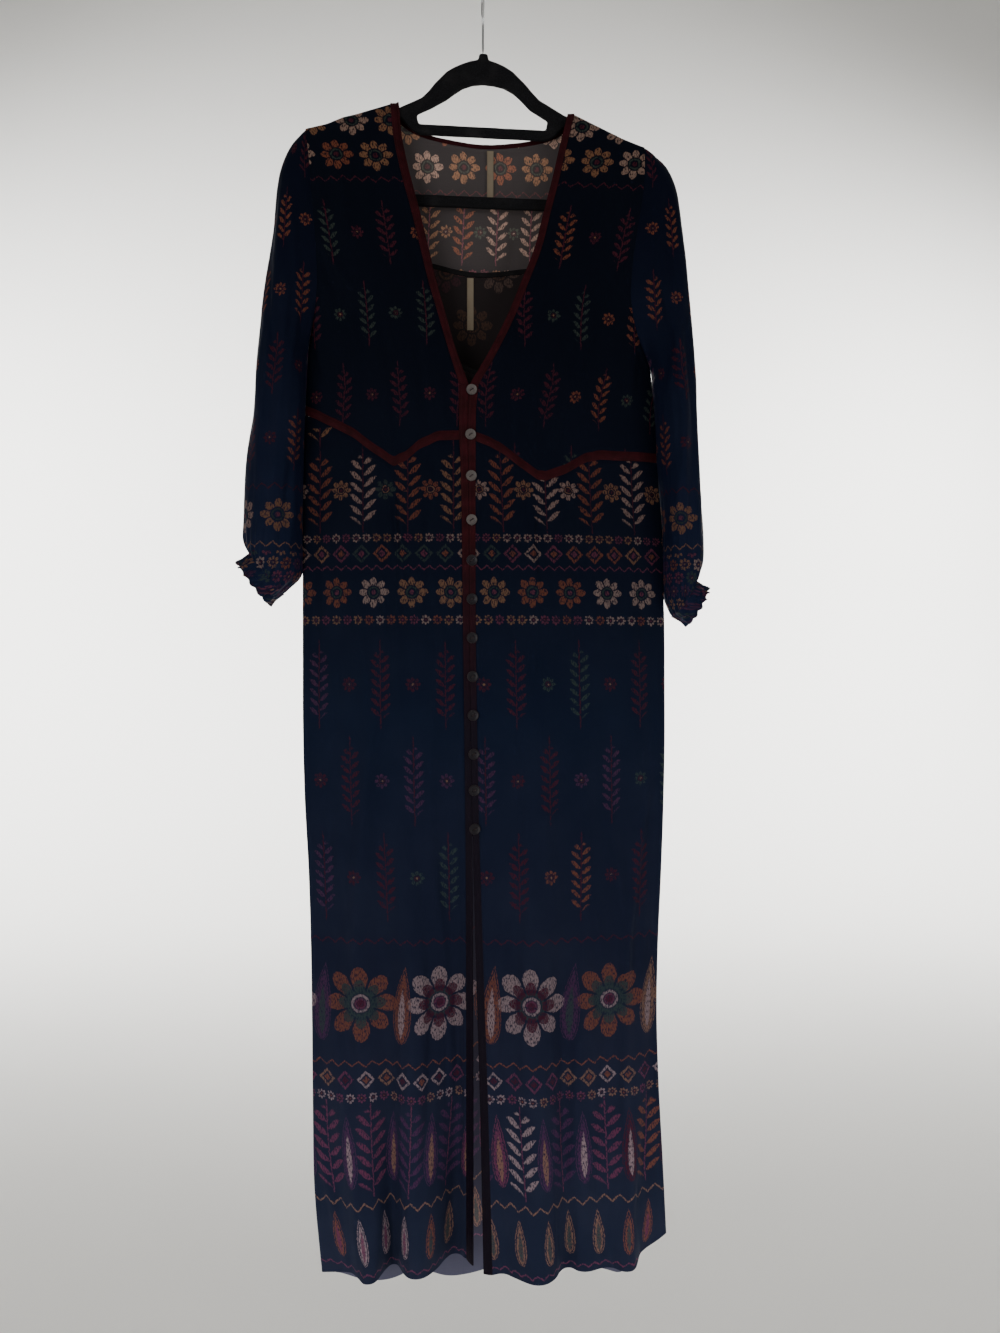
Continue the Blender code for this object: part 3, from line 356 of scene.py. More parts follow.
def between_borders(borders, columns, rows):
    """Grid of points that blends smoothly from border to border."""
    bottom, right, top, left = borders
    bottom, top = (never_back(curve_through(border, columns)) for border in (bottom, top))
    left, right = curve_through(left, rows), curve_through(right, rows)
    s = np.linspace(0, 1, columns)[None, :, None]
    t = np.linspace(0, 1, rows)[:, None, None]
    grid = (1 - s) * left[:, None] + s * right[:, None] + (1 - t) * bottom[None] + t * top[None]
    corners = (1 - t) * ((1 - s) * bottom[0] + s * bottom[-1]) + t * ((1 - s) * top[0] + s * top[-1])
    return grid - corners


def bordered(node, wall, outwards, corners, cell):
    """A panel's outer skin, its four borders, and the columns and rows of cells that fill it."""
    tree, loops = outer_skin(node, wall, outwards)
    borders = four_borders(max(loops, key=len), corners)
    across, up = (max(length_of(borders[k]), length_of(borders[k + 2])) for k in (0, 1))
    return tree, borders, max(FEWEST, int(across / cell[0])), max(FEWEST, int(up / cell[1]))


def panel_grid(node, wall, outwards, corners, cell):
    """Fine grid over a panel's outer skin, rows from bottom to top, columns from left to right."""
    tree, borders, columns, rows = bordered(node, wall, outwards, corners, cell)
    fine = between_borders(borders, columns * FINE, rows)
    for row in fine[1:-1]:
        for point in row[1:-1]:
            far = Vector((point[0], 0, point[2])) + FAR_AWAY * outwards
            hit = tree.ray_cast(far, -outwards)[0] or tree.find_nearest(Vector(point))[0]
            point[1] = hit.y
    grid = np.stack([evenly_spaced(row, columns) for row in fine])
    depth = softened(grid[..., 1:2], SKIN_SOFTENING, max(1, int(SOFTENED_UP / cell[1])))
    return np.concatenate([grid[..., :1], depth, grid[..., 2:]], axis=2)


def strip_grid(node, wall, outwards, corners, cell):
    """Grid over a narrow strip, from its borders alone."""
    return between_borders(*bordered(node, wall, outwards, corners, cell)[1:])


# %% A grid round a tube
def evenly_round(ring, count):
    """A closed ring of points spaced evenly, from its first point."""
    return evenly_spaced(np.vstack([ring, ring[:1]]), count + 1)[:-1]


def end_ring(loops, x, z, count):
    """The border loop nearest to x, z, started at its lowest point and running over the front first."""
    loop = min(loops, key=lambda ring: np.hypot(ring[:, 0] - x, ring[:, 2] - z).min())
    loop = np.roll(loop, -int(np.argmin(loop[:, 2] + 0.001 * np.abs(loop[:, 1]))), axis=0)
    if loop[1, 1] > loop[-1, 1]:
        loop = np.roll(loop[::-1], 1, axis=0)
    return evenly_round(curve_through(loop, count * FINE, closed=True), count)


def tube_grid(node, wall, first_at, last_at, turns, rows):
    """Fine grid round a short tube, rows from its first ring to its last."""
    tree, loops = outer_skin(node, wall, None)
    rings = [end_ring(loops, *at, turns) for at in (first_at, last_at)]
    t = np.linspace(0, 1, rows)[:, None, None]
    grid = (1 - t) * rings[0] + t * rings[1]
    for r in range(1, rows - 1):
        for c in range(turns):
            grid[r, c] = tree.find_nearest(Vector(grid[r, c]))[0]
    return softened(grid, *TUBE_SOFTENING, closed=True)


# %% A grid down a sleeve
# Each row cuts the sleeve on the slant: x, z of its outer end and x, z of its inner end.
SLEEVE_SECTIONS = {
    "left": (
        (-213, -190, -206.5, -448), (-222, -202, -209.2, -460),
        (-231.5, -223, -210.6, -474), (-238, -251, -211, -490),
        (-243.5, -304, -211, -512), (-250, -360, -211, -536),
        (-256.5, -424, -211, -562), (-262.5, -480, -211, -592),
        (-269, -539, -211, -624), (-272.5, -595, -211, -655),
        (-275, -640, -212, -684), (-277, -662, -217, -706),
    ),
    "right": (
        (198, -196.5, 199.5, -464), (207, -203, 204, -476),
        (218.5, -216.5, 207.5, -490), (227.5, -238, 208.6, -506),
        (234, -290, 209.6, -528), (241, -358, 211, -552),
        (246.5, -418, 212.6, -578), (251, -478, 214.4, -608),
        (253, -540, 216.4, -640), (256.5, -596, 218, -676),
        (259, -650, 218, -710), (259, -688, 219, -733),
    ),
}
SETTLED_ROWS = 4       # the armhole's curve has gone from the sleeve after so many sections


def sleeve_grid(side, first_at, last_at, turns, rows):
    tree, loops = outer_skin(f"sleeve_{side}", CLOTH_WALL, None)
    first, last = (end_ring(loops, *at, turns) for at in (first_at, last_at))
    half = turns * FINE // 2
    share = (1 - np.cos(np.linspace(0, math.pi, half)))[:, None] / 2
    armhole = first[:turns // 2 + 1][:, [0, 2]]
    climb = np.linspace(0, 1, len(armhole))
    low, high = armhole[0], armhole[-1]
    bow = armhole - (low + climb[:, None] * (high - low))
    bow = np.stack([np.interp(share[:, 0], climb, bow[:, axis]) for axis in range(2)], axis=1)
    wrist = last[[turns // 2, 0]][:, [0, 2]].ravel()
    ends = np.vstack([np.concatenate([high, low]), SLEEVE_SECTIONS[side], wrist])
    sections = np.hstack([ends, np.arange(len(ends))[:, None]])
    grid = [first]
    for out_x, out_z, in_x, in_z, number in curve_through(sections, rows)[1:-1]:
        ease = max(0.0, 1 - number / SETTLED_ROWS)
        path = np.array((in_x, in_z)) + share * (out_x - in_x, out_z - in_z) + bow * ease
        ring = []
        for towards, run in ((FRONT, path), (BACK, path[::-1])):
            for x, z in run:
                hit = tree.ray_cast(Vector((x, 0, z)), towards)[0]
                ring.append(tuple(hit or tree.find_nearest(Vector((x, 0, z)))[0]))
        grid.append(evenly_round(np.array(ring), turns))
    grid.append(last)
    return softened(np.array(grid), *SLEEVE_SOFTENING, closed=True)


# %% [markdown]
# ## Creases and folds
#
# Thin woven cloth on a hanger is never smooth. Each crease is a soft trough or ridge laid between two given
# places, with its own length, width and depth. It fades towards both ends, and towards the seams, where the
# stitching holds the cloth.

# %% Laying creases into a grid
CREASE_BOW = 0.05      # a crease bows sideways by this share of its length
CREASE_SWELL = 0.25    # and is deeper and shallower along it by this share


def grid_normals(grid, closed=False):
    if closed:
        wide = np.concatenate([grid[:, -1:], grid, grid[:, :1]], axis=1)
        across = wide[:, 2:] - wide[:, :-2]
    else:
        across = np.gradient(grid, axis=1)
    normals = np.cross(across, np.gradient(grid, axis=0))
    return normals / np.maximum(np.linalg.norm(normals, axis=2, keepdims=True), 1e-9)


def faces_in(grid, outwards, closed):
    """Whether a grid's normals point the wrong way: against outwards, or towards the tube's own middle."""
    normals = grid_normals(grid, closed)
    away = grid - grid.mean(axis=1, keepdims=True) if outwards is None else np.array(outwards)
    return (normals * away).sum(axis=2).mean() < 0


def crease_depth(grid, creases):
    """Sum of the creases at each point of a grid."""
    x, z = grid[..., 0], grid[..., 2]
    total = np.zeros_like(x)
    for number, (x1, z1, x2, z2, half_width, depth) in enumerate(creases):
        run, rise = x2 - x1, z2 - z1
        length = math.hypot(run, rise)
        along = np.clip(((x - x1) * run + (z - z1) * rise) / length ** 2, 0, 1)
        side = ((x - x1) * rise - (z - z1) * run) / length
        bow = CREASE_BOW * length * np.sin(math.pi * along) * (-1) ** number
        swell = np.sin(math.pi * along) ** 0.7 * (1 + CREASE_SWELL * np.sin(7 * along + number))
        total += depth * swell * np.exp(-((side - bow) / half_width) ** 2)
    return total


def steps_along(grid, axis):
    """Length walked along each row (axis 1) or each column (axis 0)."""
    return np.cumsum(np.linalg.norm(np.diff(grid, axis=axis, prepend=np.take(grid, [0], axis)), axis=2), axis)


def border_distance(grid):
    """Length from each point to the nearest border, along the cloth."""
    up, across = steps_along(grid, 0), steps_along(grid, 1)
    return np.minimum(np.minimum(up, up[-1:] - up), np.minimum(across, across[:, -1:] - across))


def eased(share):
    share = np.clip(share, 0, 1)
    return share * share * (3 - 2 * share)


def pushed_out(grid, depth, outwards, closed=False):
    """The grid moved outwards by a depth at each point."""
    normals = grid_normals(grid, closed)
    if faces_in(grid, outwards, closed):
        normals = -normals
    return grid + normals * depth[..., None]


# %% Turning a grid into cloth
CLOTH_THICKNESS = 0.5
SHARP_ANGLE = 60       # degrees; a sharper bend shows as an edge
SLEEVE_REPEATS = 224.0     # the sleeve's print is this far round, a whole number of its repeats
NARROWEST_CUT = 10.0       # a strip's cut is counted no narrower than this, with its turnings


def cloth_from(name, grid, places, materials, outwards=None, closed=False, thickness=CLOTH_THICKNESS):
    """Thin cloth on a grid of points, with a UV map in metres: across the cloth, and up it.

    A closed grid wraps its last column to its first. places gives each point's UV place, in millimetres.
    """
    flip = faces_in(grid, outwards, closed)
    if closed:
        grid = np.concatenate([grid, grid[:, :1]], axis=1)
    rows, columns = grid.shape[:2]
    bpy.ops.mesh.primitive_grid_add(x_subdivisions=columns - 1, y_subdivisions=rows - 1, size=1)
    piece = bpy.context.object
    mesh = piece.data
    piece.name = mesh.name = name
    mesh.vertices.foreach_set("co", (grid.reshape(-1, 3) * MM).ravel())
    loops = np.empty(len(mesh.loops), np.int32)
    mesh.loops.foreach_get("vertex_index", loops)
    places = places.reshape(-1, 2)[loops].reshape(-1, 4, 2)
    wrapped = np.ptp(places[..., 0], axis=1) > SLEEVE_REPEATS / 2
    places[wrapped, :, 0] += np.where(places[wrapped, :, 0] < 0, SLEEVE_REPEATS, 0)
    mesh.uv_layers[0].data.foreach_set("uv", (places * MM).ravel())
    mesh.update()
    steps = [merge_close] if closed else []
    if flip:
        steps.append(bpy.ops.mesh.flip_normals)
    edit_all(piece, *steps)
    for material in materials:
        mesh.materials.append(material)
    solid = piece.modifiers.new("thickness", "SOLIDIFY")
    solid.thickness = thickness * MM
    solid.offset = -1
    solid.material_offset = len(materials) - 1
    solid.material_offset_rim = 0
    apply_modifiers(piece)
    bpy.ops.object.shade_smooth_by_angle(angle=math.radians(SHARP_ANGLE))
    return piece


def cut_places(grid):
    """Where each point of a panel lies on its flat cut: length across from the middle column, and height."""
    across = steps_along(grid * (1, 1, 0), 1)
    middle = grid.shape[1] // 2
    return np.stack([across - across[:, [middle]] + grid[:, middle, 0].mean(), grid[..., 2]], axis=2)


def tube_places(grid):
    """The same round a tube that hangs, with one more column for the seam: length round it, and height."""
    grid = np.concatenate([grid, grid[:, :1]], axis=1)
    around = steps_along(grid * (1, 1, 0), 1)
    return np.stack([around - around[:, [around.shape[1] // 4]], grid[..., 2]], axis=2)


def sleeve_edges(grid, side):
    """x of the sleeve's outer and inner edge at the height of each point."""
    sections = np.array(SLEEVE_SECTIONS[side])
    depth = -grid[..., 2]
    return [np.interp(depth, -sections[:, k + 1], sections[:, k]) for k in (0, 2)]


def sleeve_places(grid, side):
    """Places round a sleeve, by the turn about its middle at each height, and height."""
    grid = np.concatenate([grid, grid[:, :1]], axis=1)
    outer, inner = sleeve_edges(grid, side)
    outwards = -1 if side == "left" else 1
    turn = np.arctan2(grid[..., 1], outwards * (grid[..., 0] - (outer + inner) / 2))
    return np.stack([turn / (2 * math.pi) * SLEEVE_REPEATS, grid[..., 2]], axis=2)


def strip_places(grid, upright):
    """The same on a strip: length across from its middle, length along it."""
    across, along = steps_along(grid, 1 if upright else 0), steps_along(grid, 0 if upright else 1)
    far = across.max(axis=1 if upright else 0, keepdims=True)
    return np.stack([across - far / 2, along], axis=2)


def cut_of(grid):
    """Width and length of the flat cut that a grid was made from, in metres, and its area."""
    cell = np.cross(np.diff(grid, axis=1)[:-1], np.diff(grid, axis=0)[:, :-1])
    area = np.linalg.norm(cell, axis=2).sum() * MM * MM
    wide = max(NARROWEST_CUT, max(length_of(row) for row in grid)) * MM
    tall = max(NARROWEST_CUT, max(length_of(column) for column in grid.transpose(1, 0, 2))) * MM
    return (wide, tall), min(area, wide * tall)


def dress(piece, node, slot, grid=None, cut=None):
    """Hide the node that a finished piece stands in for, attach the piece to the root, and print its faces."""
    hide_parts(node)
    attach(piece, "root")
    if grid is not None:
        flat, area = cut_of(grid)
        cut or flat
    print(node, len(piece.data.polygons), "faces")


print("cloth tools are ready")

# %% [markdown]
# ## Wiring a material
#
# A printed cloth needs many small nodes. Here a node's output can be added and multiplied like a number, and
# each step of such a sum adds one Math node. Every pattern below is worked out in millimetres on the cloth's
# own flat cut, as a textile printer would chart it.

# %% Sums that add nodes
class Term:
    """A node's output that takes part in sums."""

    def __init__(self, wiring, socket):
        self.wiring = wiring
        self.socket = socket

    def math(self, operation, *others):
        return self.wiring.math(operation, self, *others)

    def __add__(self, other):
        return self.math("ADD", other)

    def __sub__(self, other):
        return self.math("SUBTRACT", other)

    def __rsub__(self, number):
        return self.wiring.math("SUBTRACT", number, self)

    def __mul__(self, other):
        return self.math("MULTIPLY", other)

    def __truediv__(self, other):
        return self.math("DIVIDE", other)

    def __rtruediv__(self, number):
        return self.wiring.math("DIVIDE", number, self)

    def __abs__(self):
        return self.math("ABSOLUTE")

    def scaled(self, factor, plus):
        return self.math("MULTIPLY_ADD", factor, plus)

    def step(self, low, high):
        """0 below low, 1 above high, a ramp between."""
        return self.wiring.add("MapRange", self, low, high, 0.0, 1.0)


class Wiring:
    """Adds nodes to one node tree; their inputs may be terms, numbers or colours."""

    def __init__(self, tree, material=None):
        self.tree = tree
        self.material = material

    def put(self, value, socket):
        if isinstance(value, Term):
            self.tree.links.new(value.socket, socket)
        else:
            socket.default_value = value

    def node(self, kind, *inputs, **settings):
        node = self.tree.nodes.new("ShaderNode" + kind)
        for name, value in settings.items():
            setattr(node, name, value)
        for value, socket in zip(inputs, node.inputs):
            self.put(value, socket)
        return node

    def fill(self, node, **inputs):
        """Fills a node's inputs by name, with _ for a space."""
        for name, value in inputs.items():
            self.put(value, node.inputs[name.replace("_", " ")])
        return node

    def add(self, kind, *inputs, out=0, **settings):
        """One output of a new node."""
        return Term(self, self.node(kind, *inputs, **settings).outputs[out])

    def use(self, group, *inputs):
        """The outputs of a node group, placed once more."""
        node = self.node("Group", *inputs, node_tree=bpy.data.node_groups[group])
        return [Term(self, socket) for socket in node.outputs]

    def math(self, operation, *inputs, clamp=False):
        return self.add("Math", *inputs, operation=operation, use_clamp=clamp)

    def vector(self, operation, *inputs):
        return self.add("VectorMath", *inputs, operation=operation)

    def split(self, vector):
        """The three parts of a vector."""
        return [Term(self, socket) for socket in self.node("SeparateXYZ", vector).outputs]

    def noise(self, place, scale, detail=2.0, flat=True, distortion=0.0, out=0):
        """Soft noise, flat for a place on a cloth's cut."""
        node = self.node("TexNoise", noise_dimensions="2D" if flat else "3D")
        self.fill(node, Vector=place, Scale=scale, Detail=detail, Distortion=distortion)
        return Term(self, node.outputs[out])

    def ramp(self, value, stops, interpolation="LINEAR"):
        """A colour for each value, from stops of place and colour."""
        node = self.node("ValToRGB", value)
        node.color_ramp.interpolation = interpolation
        marks = node.color_ramp.elements
        while len(marks) < len(stops):
            marks.new(1.0)
        for number, (place, colour) in enumerate(stops):
            marks[number].position = place
            marks[number].color = (*colour, 1.0)
        return Term(self, node.outputs[0])

    def tint(self, under, over, share):
        """Colour `over` laid on colour `under` where share is 1."""
        node = self.node("Mix", data_type="RGBA")
        sockets = {one.identifier: one for one in (*node.inputs, *node.outputs)}
        for name, value in (("Factor_Float", share), ("A_Color", under), ("B_Color", over)):
            self.put((*value, 1.0) if isinstance(value, tuple) else value, sockets[name])
        return Term(self, sockets["Result_Color"])


def pattern(name, takes, gives):
    """Makes a node group from a function of a wiring and the group's inputs, which returns its outputs."""

    def build(function):
        tree = bpy.data.node_groups.new(name, "ShaderNodeTree")
        for socket in takes:
            kind = "NodeSocketVector" if socket == "Place" else "NodeSocketFloat"
            tree.interface.new_socket(name=socket, in_out="INPUT", socket_type=kind)
        for socket in gives:
            tree.interface.new_socket(name=socket, in_out="OUTPUT", socket_type="NodeSocketFloat")
        w = Wiring(tree)
        entry = tree.nodes.new("NodeGroupInput").outputs[:len(takes)]
        made = function(w, *(Term(w, socket) for socket in entry))
        for term, socket in zip(made, tree.nodes.new("NodeGroupOutput").inputs):
            w.put(term, socket)
        return function

    return build


# %% [markdown]
# ## Motifs of the print
#
# The cloth carries an ordinary folk print: rosettes, leaf sprigs, drops, diamonds and zigzag lines in a
# half-drop repeat, with borders towards the hem. Each motif is a node group that says, for any point near its
# middle, whether ink lies there.

# %% Repeat
@pattern("half drop repeat", ("Across", "Up", "Wide", "Tall", "Shift"), ("X", "Y", "Chance"))
def half_drop_repeat(w, across, up, wide, tall, shift):
    row = (up / tall).math("FLOOR")
    slid = across / wide + row * shift
    column = slid.math("FLOOR")
    cell = w.add("CombineXYZ", column, row, tall)
    chance = w.add("TexWhiteNoise", cell, out="Value", noise_dimensions="3D")
    return (slid - column - 0.5) * wide, up - (row + 0.5) * tall, chance


# %% Rosette
EDGE = 0.5             # ink runs out over this many millimetres


@pattern("rosette", ("X", "Y", "Radius"), ("Petals", "Ring", "Heart"))
def rosette(w, x, y, radius):
    r = (x * x + y * y).math("SQRT")
    turn = y.math("ARCTAN2", x)
    lobes = abs((turn * 4.0).math("COSINE"))
    uneven = turn.scaled(3.0, 1.0).math("SINE").scaled(0.05, 0.56)
    tip = radius * lobes.math("POWER", 0.8).scaled(0.42, uneven)
    share = r / radius
    petals = (tip - r).step(0.0, EDGE) * share.step(0.42, 0.47) * lobes.step(0.16, 0.34)
    return petals, share.step(0.24, 0.28) * share.step(0.38, 0.34), share.step(0.17, 0.13)


# %% Sprig
@pattern("sprig", ("X", "Y", "Height", "Width", "Leaf"), ("Leaves", "Stem"))
def sprig(w, x, y, height, width, leaf):
    side = abs(x)
    lean = x.math("SIGN").scaled(leaf * 0.25, side.scaled(-0.75, y))
    phase = abs((lean / leaf).math("FRACT") - 0.5)
    out = side / width
    plump = out * (1.0 - out) * 1.25
    rise = abs(y / height)
    leaves = (plump - phase).step(0.0, 0.08) * (rise + out * 0.12).step(0.5, 0.47)
    return leaves, side.step(0.95, 0.45) * rise.step(0.62, 0.58)


# %% Drop
@pattern("drop", ("X", "Y", "Height", "Width", "Bend"), ("Body", "Eye"))
def drop(w, x, y, height, width, bend):
    rise = (y / height + 0.5).math("MAXIMUM", 0.0)
    side = abs(x - bend * (rise * rise))
    room = rise.math("SQRT") * (1.0 - rise) * 1.3 * width - side
    line = room.step(1.1, 1.5) * room.step(2.6, 2.2)
    body = w.math("SUBTRACT", room.step(0.0, EDGE), line, clamp=True)
    return body, room.step(width * 0.30, width * 0.34)


# %% Diamond and zigzag
@pattern("diamond", ("X", "Y", "Size"), ("Frame", "Heart"))
def diamond(w, x, y, size):
    reach = (abs(x) + abs(y)) / size
    return reach.step(1.0, 0.92) * reach.step(0.60, 0.68), reach.step(0.42, 0.34)


@pattern("zigzag", ("Across", "Y", "Pitch", "Swing", "Width"), ("Line",))
def zigzag(w, across, y, pitch, swing, width):
    level = (across.math("PINGPONG", pitch) / pitch - 0.5) * swing
    return [abs(y - level).step(width, width * 0.6)]


# %% [markdown]
# ## Weave, ink and wear
#
# Woven viscose has a fine crepe grain. Its ink soaks in unevenly, so a motif is never one flat tone. These
# effects are shared by every cloth here, so each is a node group of its own.

# %% Woven grain
@pattern("woven grain", ("Place", "Pitch", "Slub"), ("Height", "Tone"))
def woven_grain(w, place, pitch, slub):
    across, up, _ = w.split(place)
    rate = math.pi / pitch
    weave = (across * rate).math("SINE") * (up * rate).math("SINE")
    crepe = w.noise(place, 0.9, 3.0)
    threads = w.noise(w.vector("MULTIPLY", place, (0.03, 0.9, 1.0)), 1.0)
    height = weave.scaled(0.25, crepe) + threads * slub
    return height, (height - 0.5).scaled(0.25, 1.0)


# %% Uneven ink
@pattern("uneven ink", ("Place", "Spread"), ("Across", "Up", "Cover"))
def uneven_ink(w, place, spread):
    ragged = w.vector("SUBTRACT", w.noise(place, 0.28, 3.0, out="Color"), (0.5, 0.5, 0.5))
    moved = w.fill(w.node("VectorMath", ragged, operation="SCALE"), Scale=spread)
    across, up, _ = w.split(w.vector("ADD", place, Term(w, moved.outputs[0])))
    worn = w.noise(w.vector("MULTIPLY", place, (1.0, 0.35, 1.0)), 0.75)
    return across, up, worn.step(0.30, 0.56)


print("node groups:", len(bpy.data.node_groups))

# %% [markdown]
# ## The print's colours and layout
#
# The ground is a navy so dark that it reads black. The inks are rust, ochre, cream, sage, oxblood, rose and
# plum. The bodice and the sleeves carry a sparse half-drop of sprigs and rosettes. The skirt repeats it
# larger, and ends in borders of diamonds, big rosettes and drops.

# %% Inks
RUST = (0.215, 0.074, 0.036)
OCHRE = (0.255, 0.138, 0.070)
CREAM = (0.340, 0.245, 0.190)
SAGE = (0.042, 0.064, 0.049)
OXBLOOD = (0.078, 0.014, 0.023)
ROSE = (0.165, 0.042, 0.068)
PLUM = (0.084, 0.030, 0.064)

# The ground's colour carries a painted light by height: darker at the shoulders and lighter towards the hem,
# where more light falls.
# share of the way up from the hem to the shoulders: navy with its painted light there
NAVY_WITH_PAINTED_LIGHT = (
    (0.0, (0.0175, 0.0223, 0.0345)),
    (0.20, (0.0170, 0.0205, 0.0350)),
    (0.45, (0.0088, 0.0140, 0.0330)),
    (0.80, (0.0020, 0.0032, 0.0088)),
)
# the sleeves' navy, with the same painted light: lighter low down, darker up top
SLEEVE_NAVY_WITH_PAINTED_LIGHT = (
    (0.45, (0.0135, 0.0235, 0.0600)),
    (0.66, (0.0105, 0.0180, 0.0480)),
    (0.90, (0.0026, 0.0044, 0.0155)),
)
# and how bright the cloth is painted there: a painted light by height
PAINTED_LIGHT_BY_HEIGHT = (
    (0.0, (0.92, 0.92, 1.32)),
    (0.20, (0.60, 0.60, 0.84)),
    (0.45, (0.59, 0.60, 0.70)),
    (0.62, (0.42, 0.37, 0.41)),
    (0.75, (0.50, 0.42, 0.44)),
    (0.95, (0.59, 0.50, 0.49)),
)
WORN = (1.5, 1.4, 1.25)     # where the ground is rubbed it is so much lighter
HEM_LEVEL, SHOULDER_LEVEL = -1450.0, -150.0
INK_SPREAD = 2.4            # a motif's outline wanders by about this much


def by_height(w, up, tones):
    """A colour that changes with the height on the cloth."""
    return w.ramp(up.step(HEM_LEVEL, SHOULDER_LEVEL), tones)


def ink_by_chance(w, chance, inks):
    """One of the inks for each repeat."""
    return w.ramp(chance, [(number / len(inks), ink) for number, ink in enumerate(inks)], "CONSTANT")


def printed(w, place, cloth, fields, lines):
    """The ground colour with the print on it: each repeat in its own inks, then each line."""
    across, up, cover = w.use("uneven ink", place, INK_SPREAD)
    for motif, low, high, wide, tall, shift, base, slide, inks, sizes in fields:
        slid = across + slide if slide else across
        x, y, chance = w.use("half drop repeat", slid, up - base, wide, tall, shift)
        room = up.step(low, low + 0.5) * up.step(high, high - 0.5) * cover
        for part, ink in zip(w.use(motif, x, y, *sizes), inks):
            colour = ink_by_chance(w, chance, ink) if isinstance(ink[0], tuple) else ink
            cloth = w.tint(cloth, colour, part * room)
    for middle, pitch, swing, width, colour in lines:
        line = w.use("zigzag", across, up - middle, pitch, swing, width)[0]
        cloth = w.tint(cloth, colour, line * cover)
    return cloth


# %% Layouts: body, sleeve
BRIGHT = (CREAM, OCHRE, RUST, OCHRE)
MIXED = (OCHRE, RUST, SAGE, CREAM, ROSE)
DEEP = (RUST, OXBLOOD, SAGE, PLUM, OXBLOOD)
DARK_SPRIG = ((DEEP, OXBLOOD), (62, 10, 10))
# motif, low, high, wide, tall, shift, base, slide, one ink or several for each part of the motif, its sizes
BODICE_FIELDS = (
    ("rosette", -238, -120, 43, 43, 0.5, -238, 0, (BRIGHT, SAGE, OXBLOOD), (19,)),
    ("sprig", -600, -262, 66, 93, 0.5, -541, 10, *DARK_SPRIG),
    ("rosette", -600, -262, 66, 93, 0.5, -541, 43, (DEEP, OXBLOOD, OCHRE), (8,)),
)
BODICE_LINES = ((-246, 7, 6, 1.1, OXBLOOD),)
BACK_FIELDS = (
    BODICE_FIELDS[0],
    ("sprig", -330, -252, 40, 78, 0.0, -330, 0, ((OCHRE, RUST, CREAM), ROSE), (68, 13, 12)),
    ("rosette", -330, -252, 40, 78, 0.0, -330, 20, ((ROSE, OCHRE, SAGE), OXBLOOD, CREAM), (8,)),
    ("rosette", -347, -333, 14, 14, 0.0, -347, 0, ((CREAM, ROSE, CREAM, OCHRE), OXBLOOD, ROSE), (6.4,)),
    ("rosette", -398, -352, 46, 46, 0.0, -398, 10, ((RUST, OCHRE, ROSE), SAGE, OXBLOOD), (20,)),
    ("sprig", -600, -408, 66, 93, 0.5, -594, 10, *DARK_SPRIG),
)
SKIRT_FIELDS = (
    ("sprig", -652, -530, 52, 98, 0.0, -652, 0, (BRIGHT, OXBLOOD), (84, 16, 13)),
    ("rosette", -652, -530, 52, 98, 0.0, -652, 26, (MIXED, OCHRE, OXBLOOD), (12,)),
    ("rosette", -664, -652, 12, 12, 0.0, -664, 0, ((CREAM, ROSE, OCHRE, CREAM), OXBLOOD, ROSE), (5.6,)),
    ("rosette", -758, -745, 13, 13, 0.0, -758, 0, ((CREAM, ROSE, RUST, OCHRE), OXBLOOD, ROSE), (6,)),
    ("rosette", -1303, -1290, 13, 13, 0.0, -1303, 0, ((OCHRE, ROSE, CREAM), OXBLOOD, RUST), (6,)),
    ("diamond", -688, -664, 24, 24, 0.0, -688, 0, (MIXED, (ROSE, RUST)), (11,)),
    ("rosette", -742, -698, 44, 44, 0.0, -742, 8, ((RUST, OCHRE, CREAM, RUST), SAGE, ROSE), (18,)),
    ("sprig", -1100, -770, 74, 110, 0.5, -1100, 0, (DEEP, OXBLOOD), (84, 12, 11)),
    ("rosette", -1100, -770, 74, 110, 0.5, -1100, 37, (DEEP, OXBLOOD, OCHRE), (9,)),
    ("rosette", -1250, -1128, 98, 122, 0.0, -1250, 0, ((CREAM, OCHRE, RUST), SAGE, ROSE), (44,)),
    ("rosette", -1250, -1128, 98, 122, 0.0, -1250, 0, ((OXBLOOD, PLUM, SAGE), CREAM, OXBLOOD), (29,)),
    ("drop", -1250, -1128, 98, 122, 0.0, -1250, 49, ((RUST, OCHRE, PLUM), (CREAM, SAGE)), (90, 24, 8)),
    ("diamond", -1288, -1264, 24, 24, 0.0, -1288, 12, ((OCHRE, CREAM, ROSE), (RUST, OXBLOOD)), (11,)),
    ("sprig", -1408, -1302, 56, 106, 0.0, -1408, 0, ((CREAM, PLUM, RUST, ROSE), ROSE), (98, 19, 15)),
    ("drop", -1408, -1302, 56, 106, 0.0, -1408, 28, ((ROSE, PLUM, OXBLOOD, PLUM), (OCHRE, CREAM)), (84, 20, 0)),
    ("drop", -1484, -1424, 36, 60, 0.0, -1484, 0, ((OCHRE, RUST, CREAM), (SAGE, ROSE)), (52, 15, 0)),
)
# middle, pitch, swing, width, ink
SKIRT_LINES = (
    (-692, 6, 5, 1.1, ROSE),
    (-1118, 8, 6, 1.2, OXBLOOD),
    (-1258, 8, 6, 1.2, RUST),
    (-1417, 9, 8, 1.4, OCHRE),
    (-1490, 7, 4, 1.1, ROSE),
)
SLEEVE_FIELDS = (
    ("sprig", -590, -120, 56, 84, 0.5, -590, 0, (DEEP, OXBLOOD), (58, 10, 10)),
    ("rosette", -590, -120, 56, 84, 0.5, -590, 28, (DEEP, OXBLOOD, OCHRE), (8,)),
    ("rosette", -658, -610, 44.8, 48, 0.0, -658, 0, ((RUST, OCHRE, CREAM), SAGE, ROSE), (19,)),
    ("rosette", -800, -674, 16, 15, 0.5, -800, 0,
     ((CREAM, ROSE, OCHRE, SAGE, PLUM, RUST), OXBLOOD, OCHRE), (7.5,)),
)
SLEEVE_LINES = ((-602, 7, 6, 1.1, OXBLOOD), (-667, 7, 6, 1.1, OCHRE))
